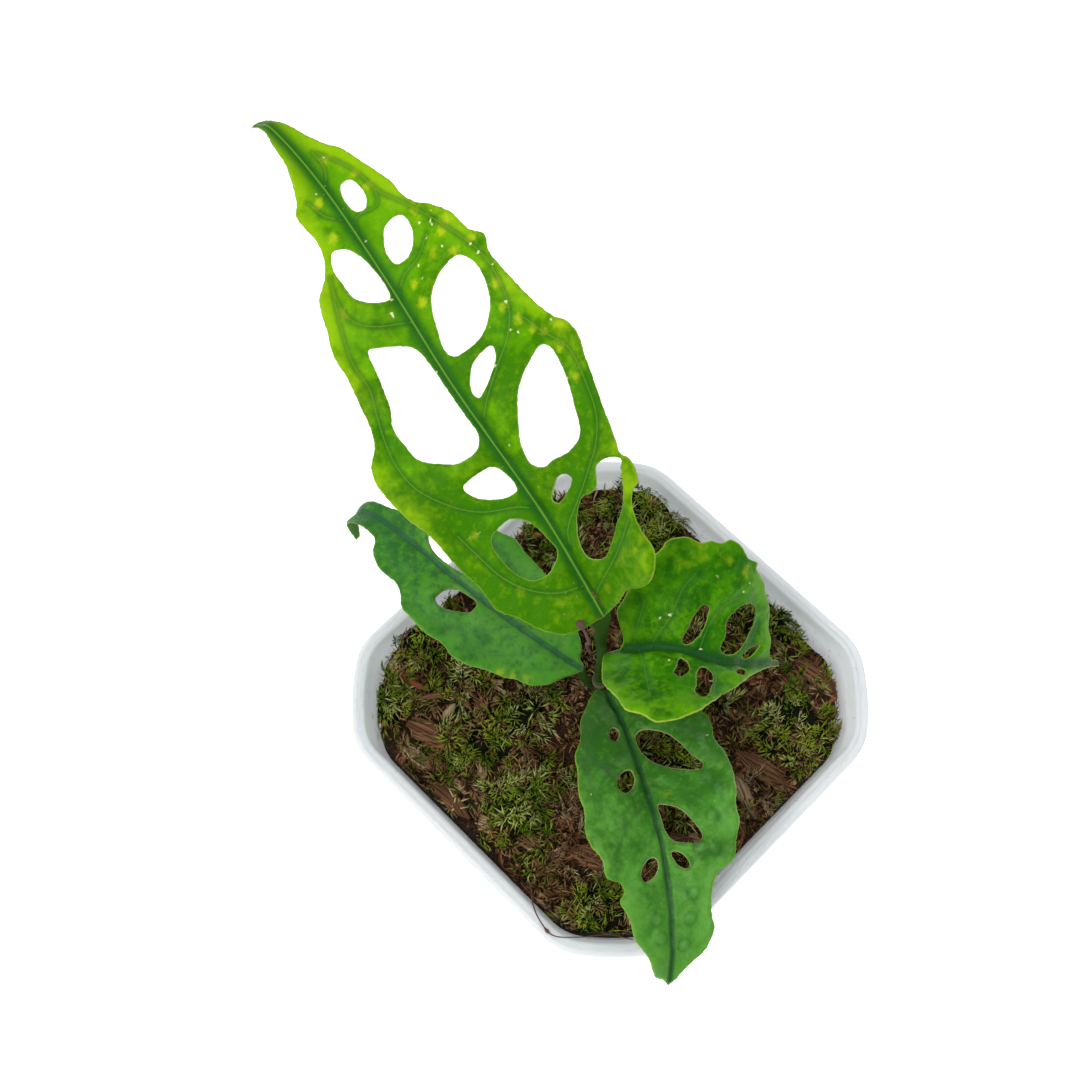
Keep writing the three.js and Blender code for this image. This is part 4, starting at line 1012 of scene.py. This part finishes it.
                 (23.5, -22.5), (26.5, -22), (26.4, -21), (29, -19), (32, -16), (36, -12), (38, -8.5),
                 (39.5, -5), (42.5, -2), (45, -1), (49, -0.7)],
    right_margin=[(0, 0), (-1.7, 0.5), (-3.5, 1.5), (-3.5, 5), (-2, 11.5), (2.5, 16.5), (5, 20), (7.5, 21),
                  (9.5, 23.5), (11, 23), (13, 20.5), (15.5, 16), (20.5, 10), (28, 4.7), (40, 1.3), (49, 0.7)],
    holes=[
        [(18.5, -10.5), (17.5, -10.5), (16, -8), (15, -5), (14, -2.5), (14, -1.5), (15, -1.5), (16.5, -3),
         (18, -5.5), (18.5, -9)],
        [(29, -13), (26, -13), (23.5, -10.5), (22.5, -8.5), (23, -5.5), (22.5, -2.5), (24.5, -1.7), (28, -3),
         (30, -6.5), (31, -10)],
        [(36, -4.3), (32.5, -3.7), (29.5, -1.7), (30.5, -1.2), (33.5, -1.8)],
        [(13, 3), (12, 6), (11.5, 8), (12, 9.3), (13, 8.5), (14, 6), (14, 4)],
        [(17.5, 4), (15.5, 6), (14.3, 11), (13.8, 14), (14.4, 15), (15.5, 13.5), (16.5, 11), (18, 8),
         (18.5, 5)],
        [(25.2, 4.2), (26.2, 2.4), (28.2, 1.6), (29.9, 1.6), (29.6, 2.5), (27.5, 3.6)],
    ],
    veins=[
        [(6.5, 0), (8.9, -2.4), (11.6, -5.9), (13, -9.6), (14.2, -13.3), (15.9, -16.7)],
        [(17.5, 0), (18.9, -5.9), (20, -9), (21.5, -11.8), (24, -14)],
        [(3, 0), (5, -4), (6.8, -7), (8.4, -10)],
        [(31, 0), (32, -5), (33.5, -9)],
        [(4, 0), (6, 5), (7.5, 11), (8.5, 16)],
        [(19, 0), (19.5, 5), (17.5, 11)],
    ],
    scars=[(10.5, -6.5), (12, -7.2), (19.3, -16.9), (24.4, -15.3), (25.2, -17.3), (10.9, 5.2), (18.1, -1.3)],
    yellows=[(16.5, -20.3), (20, -20.7), (14.4, -18.2), (15.8, -22.8), (23.9, -19.8)],
    wounds=[(44.5, -0.3), (46, 0)],
    blisters=[],
    petiole=[(-0.5, 2.8, 88), (1.6, 0.8, 98), (1.4, -1.6, 110), (0.2, -2.6, 119), (0.2, -3.4, 123.6)],
    sizes=[(0, 1, 1), (0.7, 1.1, 1.1), (0.93, 1.4, 1.1), (1, 1.2, 0.9)],
    finish=dict(
        gloss=0.1, dark=(0.016, 0.13, 0.001), light=(0.062, 0.265, 0.001), bright=(0.17, 0.42, 0.003),
        rib_line=(0.02, 0.085, 0.015), channel=(0.014, 0.085, 0.018), vein_line=(0.11, 0.3, 0.02),
        rim=(0.55, 0.58, 0.08), hole_rim=(0.36, 0.44, 0.08), band=2.4, shade=0.35, youth=0, spotty=0.5,
        fade=0.3, pale_edge=0.45),
), dict(
    name="leaf_front", slot="leaf_dark", step=0.65,
    relief=dict(depth=0.6, width=0.7, raised=0, pucker=0.8), wave=dict(height=0.5, length=14, reach=17),
    face=(0, 0, 1),
    rib=[(-3, -1, 97), (-8.5, -12.5, 103.5), (-18, -29, 108), (-26.5, -41.5, 107), (-35, -51, 104),
         (-41, -56, 99)],
    left_fold=[(0, 10), (70, 8)], right_fold=[(0, 32), (70, 14)],
    left_margin=[(0, 0), (1, -4), (3, -8), (6, -11.5), (10, -15.5), (14.5, -17.8), (17.5, -18), (21, -17.4),
                 (24.5, -18.7), (28.5, -19), (33.5, -18.2), (36, -17.4), (39.5, -17.3), (43, -15.7),
                 (46.5, -14.5), (49, -10.5), (52.5, -9), (57, -8.6), (59.5, -9), (63.5, -7.2), (65.5, -5),
                 (68, -2.5), (69.5, -1.5), (70.7, 0)],
    right_margin=[(0, 0), (-0.5, 1.5), (4, 5.5), (8, 8), (12.5, 11), (17.5, 12.7), (21, 15), (25, 15.5),
                  (30, 16.5), (33, 16), (37, 16.6), (39.5, 16), (42, 14.2), (46, 13.5), (47.5, 10.7),
                  (49.5, 10), (51, 11.2), (54.5, 9.5), (59, 8.3), (63, 5.5), (68, 3.2), (69, 1.5), (70.7, 0)],
    holes=[
        [(14, 4.3), (12.7, 3), (13.6, 2), (15.3, 2.6), (16.6, 4), (15.9, 4.9)],
        [(27, 6.6), (24.7, 4.7), (23.8, 2.4), (25.5, 2), (28.2, 3.3), (29.4, 5.6), (29, 6.7)],
        [(15.5, -1.5), (14.3, -3), (14.8, -5.5), (17, -8.4), (20, -10.2), (23.3, -11.7), (25.7, -13.4),
         (26.7, -12.6), (26, -9.3), (24.2, -5.4), (21.5, -2.5), (18.7, -1.5)],
        [(32.6, -1.5), (33, -3.3), (34.5, -5.7), (37.3, -7.6), (40.7, -8.9), (42, -7.9), (41.4, -5),
         (40.6, -2.8), (38.3, -1.6), (35, -1.4)],
        [(43, -1.8), (43, -3), (44.4, -4.5), (46.6, -5.1), (46.6, -3.8), (45.2, -2.4)],
        [(45.5, 5.4), (43.9, 3.9), (43.5, 2.2), (44.6, 1.5), (46.8, 2.4), (48.1, 4.9), (47.3, 5.7)],
    ],
    veins=[
        [(6, 0), (9, -5.5), (13.5, -11), (19, -14.5)],
        [(28, 0), (29.5, -5), (33, -10.5), (38, -13.5)],
        [(48.5, 0), (51, -3.5), (56, -6)],
        [(3, 0), (8, 3.5), (15, 8), (21, 10.5)],
        [(18, 0), (22, 6), (28, 11), (35, 13)],
        [(31, 0), (34.5, 5), (40, 9.5), (45, 10.5)],
        [(50, 0), (54, 3.5), (59, 5)],
    ],
    scars=[(30, 14), (20, -16)],
    yellows=[(30.2, -4.1)],
    wounds=[],
    blisters=[(9, -10), (12, -12.6), (21, -14.6), (28.5, -13.4), (32, -14.6), (37, -12), (44, -11), (43, -8),
              (52, -5), (57, -4), (62, -2.5), (25, 9.5), (36, 9), (56, 3.5), (60, 2.5)],
    petiole=[(-0.4, 2.6, 80), (-1.8, 0.6, 86), (-3.2, -1, 92), (-3.8, -2.4, 97)],
    sizes=[(0, 0.9, 0.9), (0.7, 1, 1), (1, 1.1, 0.8)],
    finish=dict(
        gloss=0.3, dark=(0.034, 0.158, 0.01), light=(0.073, 0.268, 0.025), bright=(0.14, 0.38, 0.05),
        rib_line=(0.01, 0.05, 0.01), channel=(0.018, 0.085, 0.022), vein_line=(0.045, 0.15, 0.028),
        rim=(0.3, 0.42, 0.03), hole_rim=(0.52, 0.34, 0.2), band=1, shade=0.16, youth=0.6, spotty=0.5,
        fade=0.2, pale_edge=0.4),
)]


def blade_surface(leaf):
    """The blade's middle surface, as a function of the way along the rib and the way out from it.

    The folds lift each half by so many degrees at places along the rib.
    """
    curve = smooth_curve(leaf["rib"], per_span=60)
    along = way_along(curve)
    headings = np.gradient(curve, along, axis=0)
    side = unit(np.cross(curve[-1] - curve[0], leaf["face"]))
    wave = leaf["wave"]

    def surface(s, x):
        at = np.clip(s, 0, along[-1])
        heading = unit(read_off(at, along, headings))
        up = unit(np.cross(side, heading))
        fold = np.radians(np.where(x < 0, eased(leaf["left_fold"], s), eased(leaf["right_fold"], s)))
        ripple = (wave["height"] * (np.abs(x) / wave["reach"]) ** 2
                  * np.sin(2 * math.pi * s / wave["length"] + np.sign(x)))
        lift = np.sin(fold) * (np.hypot(x, 0.7) - 0.7) + ripple
        return (read_off(at, along, curve) + heading * (s - at)[:, None]
                + side * (np.cos(fold) * x)[:, None] + up * lift[:, None])

    return surface


def distance_to(points, runs):
    """The distance of flat points to the nearest of several runs of points."""
    nearest = np.full(len(points), 1e3)
    for run in runs:
        for a, b in zip(run, run[1:]):
            part = np.clip((points - a) @ (b - a) / max((b - a) @ (b - a), 1e-9), 0, 1)
            nearest = np.minimum(nearest, np.linalg.norm(points - a - part[:, None] * (b - a), axis=1))
    return nearest


def is_inside(points, loop):
    inside = np.zeros(len(points), bool)
    for (a1, b1), (a2, b2) in zip(loop, np.roll(loop, -1, axis=0)):
        if b1 != b2:
            crosses = (b1 > points[:, 1]) != (b2 > points[:, 1])
            inside ^= crosses & (points[:, 0] < a1 + (a2 - a1) * (points[:, 1] - b1) / (b2 - b1))
    return inside


def on_blade(points, margin, holes):
    return is_inside(points, margin) & ~np.any([is_inside(points, hole) for hole in holes], axis=0)


def worn(loop, depth):
    """An edge that is worn a little in and out."""
    run = 0.45 * np.arange(len(loop))
    out = unit(np.roll(loop, -1, axis=0) - np.roll(loop, 1, axis=0))[:, ::-1] * (1, -1)
    wear = np.sin(2.3 * run + 1.7 * np.sin(0.9 * run)) + 0.6 * np.sin(5.1 * run)
    return loop + depth * wear[:, None] * out


def lattice_in(margin, step):
    """Points in rows over all of an outline's box, every other row half a step on."""
    low, high = margin.min(0), margin.max(0)
    rows = []
    for number, out in enumerate(np.arange(low[1], high[1], step * 0.87)):
        run = np.arange(low[0] + (number % 2) * step / 2, high[0], step)
        rows.append(np.column_stack([run, np.full(len(run), out)]))
    return np.vstack(rows)


def drawn_lines(length, veins):
    """Lines of points along the rib and beside it, and along the veins where they are clear of it."""
    run = np.arange(0.8, length - 0.8, rib_step)
    beside_rib = [np.column_stack([run, np.full(len(run), out)]) for out in rib_lines]
    beside_veins = []
    for vein in veins:
        across = unit(np.gradient(vein, axis=0))[:, ::-1] * (1, -1)
        beside_veins += [vein + out * across for out in vein_lines]
    beside_veins = np.vstack(beside_veins)
    return np.vstack([*beside_rib, beside_veins[np.abs(beside_veins[:, 1]) > rib_clear]])


def triangles_between(loops, points):
    """Triangles that keep to the loops and take in all the points, each turned left."""
    ends, start = [], 0
    for loop in loops:
        numbers = np.arange(start, start + len(loop))
        ends += zip(numbers.tolist(), np.roll(numbers, -1).tolist())
        start += len(loop)
    corners = [tuple(point) for point in np.vstack([*loops, points])]
    flat, _, faces, *_ = delaunay_2d_cdt(corners, ends, [], 0, 1e-4)
    flat, faces = np.array([tuple(point) for point in flat]), np.array(faces)
    (ax, ay), (bx, by), (cx, cy) = flat[faces].transpose(1, 2, 0)
    turns_left = (bx - ax) * (cy - ay) - (by - ay) * (cx - ax) > 0
    return flat, np.where(turns_left[:, None], faces, faces[:, ::-1])


def flat_blade(leaf):
    """The blade laid flat: a lattice in its outline, with lines of points on the rib and the veins."""
    left, right = (traced(leaf[f"{side}_margin"], edge_step, 0.5) for side in ("left", "right"))
    margin = worn(np.vstack([left[:-1], right[::-1][:-1]]), margin_wear)
    holes = [worn(traced(hole, hole_step, 0.5, True), hole_wear) for hole in leaf["holes"]]
    closed = [np.vstack([loop, loop[:1]]) for loop in [margin, *holes]]
    veins = [traced(vein, vein_step, 0.5) for vein in leaf["veins"]]
    lines = drawn_lines(leaf["left_margin"][-1][0], veins)
    lines = lines[on_blade(lines, margin, holes) & (distance_to(lines, closed) > 0.22)]
    step = leaf["step"]
    lattice = lattice_in(margin, step)
    lattice = lattice[on_blade(lattice, margin, holes)]
    lattice = lattice[distance_to(lattice, closed) > 0.5 * step]
    lattice = lattice[np.abs(lattice[:, 1]) > max(rib_lines) + 0.4 * step]
    lattice = lattice[distance_to(lattice, veins) > max(vein_lines) + 0.45 * step]
    flat, faces = triangles_between([margin, *holes], np.vstack([lines, lattice]))
    faces = faces[on_blade(flat[faces].mean(1), margin, holes)]
    used, faces = np.unique(faces, return_inverse=True)
    flat = flat[used]
    gaps = dict(
        rib=np.abs(flat[:, 1]), vein=distance_to(flat, veins), edge=distance_to(flat, closed[:1]),
        hole=distance_to(flat, closed[1:]))
    return flat, faces.reshape(-1, 3), gaps


def swells(s, x, size, seed):
    """Smooth unevenness of about a size, from -1 to 1."""
    a = np.sin(s / size + seed + 1.3 * np.sin(x / size * 0.8 + seed))
    b = np.cos(x / size * 1.1 + 2 * seed + 1.1 * np.sin(s / size * 0.7 - seed))
    return a * b


def blade_relief(leaf, s, x, gaps):
    """How far the two faces stand off the middle surface, up and down, apart from the thickness."""
    length = leaf["left_margin"][-1][0]
    rib, vein = gaps["rib"], gaps["vein"]
    fade = np.clip(1.15 - s / length, 0.2, 1)
    relief = leaf["relief"]
    channel = -relief["depth"] * fade * hump(rib, relief["width"])
    line = relief["raised"] * fade * hump(rib, 0.3)
    valley = -0.3 * hump(vein, 1.2) + 0.12 * hump(vein, 0.25)
    quilt = relief["pucker"] * (1 - hump(vein, 3)) * (0.4 + 0.6 * swells(s, x, *fine_swell))
    broad = 0.9 * swells(s, x, *broad_swell) * np.clip(rib / 6, 0, 1)
    blister = sum(0.85 * np.exp(-((s - a) ** 2 + (x - b) ** 2) / 2.6) for a, b in leaf["blisters"])
    above = channel + line + valley + quilt + broad + blister
    rib_below = 0.9 * np.clip(1 - s / length, 0.05, 1) * hump(rib, 0.75)
    below = rib_below + 0.22 * hump(vein, 0.4) - 0.7 * (valley + quilt + broad + blister)
    return above, below


def leaf_finish(name, gloss, dark, light, bright, rib_line, channel, vein_line, rim, hole_rim, band, shade,
                youth, spotty, fade, pale_edge):
    """A semi-glossy leaf: greens in soft blotches, thin veins, fine rims, and its marks of age, with painted
    shade in its grooves and round its blisters, and painted light on its swells and blister tops.
    """
    look = Look(name, Specular_IOR_Level=gloss, Specular_Tint=(0.7, 1, 0.5, 1), Subsurface_Weight=0.1,
                Subsurface_Scale=0.0015, Subsurface_Radius=(0.3, 1, 0.1))
    step = look.step
    rib, vein, edge, hole = (look.attribute(f"{mark}_gap") for mark in ("rib", "vein", "edge", "hole"))
    under, stalk, along, swell = (look.attribute(mark) for mark in ("underside", "stalk", "along", "swell"))
    scar, yellow, wound, blister = (look.attribute(mark) for mark in ("scar", "yellow", "wound", "blister"))
    mottle = look.noise(1.7, 4, 0.65)
    grain = look.noise(0.45, 3, 0.6)
    fresh = look.noise(7, 3, 0.6) + along * youth
    fading = step(yellow * 0.6 + mottle * 1.1, 0.72, 1.2) * step(along, -0.7, 0.1) * fade
    specks = step(look.cells(2.3, "F1"), 0.11, 0.06) * step(look.noise(7), 0.52, 0.6)
    stalk_green = look.paint((0.016, 0.055, 0.006), (mottle, (0.05, 0.115, 0.018)))
    greens = [
        (step(fresh, 0.36, 0.64), light),
        # The swell mark makes the raised swells of the blade lighter: painted light on the high parts.
        (step(mottle + swell * 0.15, 0.52, 0.78) * spotty, bright),
        (step(mottle, 0.5, 0.3) * spotty, dark),
        (step(grain, 0.42, 0.3) * 0.2, channel),
        # Paler near the margins, which is the leaf's own colour. The swell term adds painted light on the
        # raised parts.
        (step(edge, 5, 0.5) * step(fresh + swell * 0.2, 0.35, 0.75) * pale_edge, bright),
        # A broad darker band along the sunken midrib: painted shade.
        (step(rib, 5, 1) * shade, dark),
        (fading, (0.5, 0.58, 0.012)),
        # A darker ring round the foot of each blister is painted shade, and its lighter bluish top is a
        # painted highlight.
        (step(blister, 0.2, 0.45) * step(blister, 0.75, 0.5) * 0.25, channel),
        (step(blister, 0.6, 0.95) * 0.2, (0.12, 0.3, 0.12)),
    ]
    lines = [
        # The channel colour darkens the groove of the midrib and the valleys beside the veins: painted shade.
        (step(rib, band, 0.4) * 0.9, channel),
        (step(vein, 1.2, 0.2) * shade, channel),
        (step(vein, 0.18, 0.04) * 0.5, vein_line),
        (step(rib, 0.24, 0.08) * 0.75, rib_line),
    ]
    wear = [
        (specks * 0.2, (0.62, 0.66, 0.3)),
        (step(scar + grain * 0.8, 0.85, 1.1), (0.8, 0.8, 0.45)),
        (step(wound + grain * 0.6, 0.7, 1), (0.2, 0.1, 0.05)),
        (step(edge, 0.22, 0.06) * 0.6, rim),
        (step(hole, 0.22, 0.06) * 0.6, hole_rim),
    ]
    colour = look.paint(dark, *greens, *lines, *wear, (under * 0.5, (0.14, 0.3, 0.05)), (stalk, stalk_green))
    roughness = 0.34 + mottle * 0.16 + under * 0.2 + scar * 0.2
    net = look.cells(0.9, "DISTANCE_TO_EDGE")
    return look.finish(colour, roughness, net * 0.35 + mottle * 0.8 + grain * 0.35, 0.22, 0.9)


def stalk_rings(leaf):
    """The rings of the petiole. Each of its sizes is a part of the way, a half width and a half depth."""
    line = traced(leaf["petiole"], 0.5)
    part = np.linspace(0, 1, len(line))
    at, *sizes = zip(*leaf["sizes"])
    wide, deep = (eased(list(zip(at, size)), part) for size in sizes)
    return tube_rings(line, wide, deep, across=(1, -0.4, 0), sides=24)


def near_spots(points, spots, reach):
    """1 at any of the spots, which falls off to nothing a few reaches away."""
    near = np.zeros(len(points))
    for spot in spots:
        near = np.maximum(near, np.exp(-np.sum((points - spot) ** 2, axis=1) / reach**2))
    return near


def blade_marks(leaf, flat, gaps):
    """What the look reads from each point of the blade, with the number that it reads on the petiole."""
    s, x = flat.T
    marks = {f"{mark}_gap": (values, far_off) for mark, values in gaps.items()}
    for mark, reach in [("scar", 0.45), ("wound", 0.5), ("blister", 1.5), ("yellow", 1.4)]:
        marks[mark] = near_spots(flat, leaf[f"{mark}s"], reach), 0
    marks["along"] = s / leaf["left_margin"][-1][0] - 0.5, 0
    # The broad swell of the relief, which the look paints lighter where it stands high: painted light.
    marks["swell"] = 0.5 + 0.5 * swells(s, x, *broad_swell), 0
    return marks


def blade_faces(leaf, flat, gaps):
    """The upper and the lower face of the blade, which thins out towards its edges."""
    surface = blade_surface(leaf)
    s, x = flat.T
    near = 0.4
    lengthwise = surface(s + near, x) - surface(s - near, x)
    crosswise = surface(s, x + near) - surface(s, x - near)
    normal = unit(np.cross(crosswise, lengthwise))
    above, below = blade_relief(leaf, s, x, gaps)
    rim = np.clip(np.minimum(gaps["edge"], gaps["hole"]) / 0.6, 0, 1) ** 0.5
    half = blade_thickness / 2 * (0.3 + 0.7 * rim)
    upper = surface(s, x) + normal * (half + above * rim)[:, None]
    lower = surface(s, x) - normal * (half + np.maximum(below, -above - 0.1) * rim)[:, None]
    return np.vstack([upper, lower])


def make_leaf(leaf):
    """Both faces of the blade, a wall round each of its edges, and the petiole, as one piece."""
    flat, faces, gaps = flat_blade(leaf)
    count = len(flat)
    sides = {(a, b) for face in faces.tolist() for a, b in zip(face, face[1:] + face[:1])}
    walls = [(a, b, b + count, a + count) for a, b in sorted(sides) if (b, a) not in sides]
    blade = faces[:, ::-1].tolist() + (faces + count).tolist() + walls
    petiole = skin(stalk_rings(leaf))
    points, faces, on_stalk = bundle([(blade_faces(leaf, flat, gaps), blade, 0), (*petiole, 1)])
    rest = len(points) - 2 * count
    marks = {mark: np.concatenate([values, values, np.full(rest, other)])
             for mark, (values, other) in blade_marks(leaf, flat, gaps).items()}
    piece = add_piece(f"{leaf['name']}_blade", points, faces, leaf_finish(leaf["name"], **leaf["finish"]),
                      stalk=on_stalk, underside=np.repeat([0, 1, 0], [count, count, rest]), **marks)
    settle(piece, leaf["slot"], leaf["name"])


for leaf in leaves:
    make_leaf(leaf)

# Dried sheath: the withered thread of the sheath that once wrapped the newest leaf. It leans out beside the
# big petiole and ends in a shrivelled knob.

sheath_path = [(-4.5, 3.2, 118), (-6.8, 2.4, 130), (-8.6, 0.2, 138.5), (-10, -1, 144.5), (-10.3, -0.2, 148.6),
               (-10.2, 1.5, 150.9), (-10.2, 1.9, 151.6)]
sheath_radii = [(0, 0.3), (0.15, 0.4), (0.8, 0.3), (0.95, 0.3), (0.972, 0.85), (0.99, 0.8), (1, 0.15)]


def dried_finish():
    look = Look("dried sheath", Specular_IOR_Level=0.3)
    fine = look.noise(0.4, 4, 0.7)
    colour = look.paint((0.045, 0.02, 0.018), (fine, (0.2, 0.1, 0.08)))
    return look.finish(colour, 0.65 + fine * 0.2, fine, 0.15, 0.8)


def wrinkled_thread():
    line = traced(sheath_path, 0.25)
    sides = 20
    turn, part = around(sides), np.linspace(0, 1, len(line))
    wrinkle = 1 + 0.1 * np.sin(5 * turn + 9 * part[:, None]) + 0.06 * np.sin(40 * part[:, None] + 2 * turn)
    return swollen(tube_rings(line, eased(sheath_radii, part), sides=sides, across=(1, 0, 0)), line, wrinkle)


dried_look = dried_finish()
thread = add_piece("dried_sheath_thread", *skin(wrinkled_thread()), dried_look)
settle(thread, "dried", "dried_sheath")

# Root on the rim: one fine dead root that has strayed out of the mix and lies over the near corner of the
# lip, with a dark knot in it. It is as brown and dry as the sheath.

root_path = [(-44.2, -18.5, 83.6), (-46.6, -21.5, 85.3), (-48, -24.8, 85.4), (-48.4, -29.4, 85.4),
             (-45, -33.5, 85.6), (-39.6, -38.1, 85.4), (-36.5, -42.5, 84.4)]


def root_rings():
    line = traced(root_path, 0.3)
    part = np.linspace(0, 1, len(line))
    radius = 0.17 - 0.07 * part + 0.3 * hump(part - 0.36, 0.018)
    return tube_rings(line, radius, sides=8, across=(0.3, 0.2, 1))


root = add_piece("stray_root", *skin(root_rings()), dried_look)
settle(root, "husk")

# Floor and light: a plain pale floor that glows a little, a soft pale surround, and two large round soft
# lamps, one over the left and one over the right of the plant.

floor_reach, floor_drop = 4000, 0.4


def stage_floor():
    look = Look("floor", Roughness=0.9, Specular_IOR_Level=0.1, Base_Color=(0.9, 0.9, 0.9, 1),
                Emission_Color=(1, 1, 1, 1), Emission_Strength=0.75)
    turns = [(-1, -1), (1, -1), (1, 1), (-1, 1)]
    corners = [(x * floor_reach, y * floor_reach, -floor_drop) for x, y in turns]
    add_piece("floor", corners, [(0, 1, 2, 3)], look.material)


def soft_lamp(name, place, size, power):
    """A round soft lamp that is turned to the middle of the plant."""
    lamp = bpy.data.lights.new(name, "AREA")
    lamp.shape = "DISK"
    lamp.size = size
    lamp.energy = power
    holder = bpy.data.objects.new(name, lamp)
    holder.location = place
    holder.rotation_euler = (Vector((0, 0, 0.12)) - Vector(place)).to_track_quat("-Z", "Y").to_euler()
    bpy.context.collection.objects.link(holder)


stage_floor()
soft_lamp("key", (-0.5, 0.05, 1.1), 0.6, 6.5)
soft_lamp("overhead", (0.3, 0.1, 1.3), 0.6, 3)
surround = bpy.data.worlds.new("surround")
surround.use_nodes = True
sky = surround.node_tree.nodes["Background"].inputs
sky["Color"].default_value = (0.88, 0.94, 1, 1)
sky["Strength"].default_value = 0.4
bpy.context.scene.world = surround
bpy.context.scene.view_settings.view_transform = "Standard"
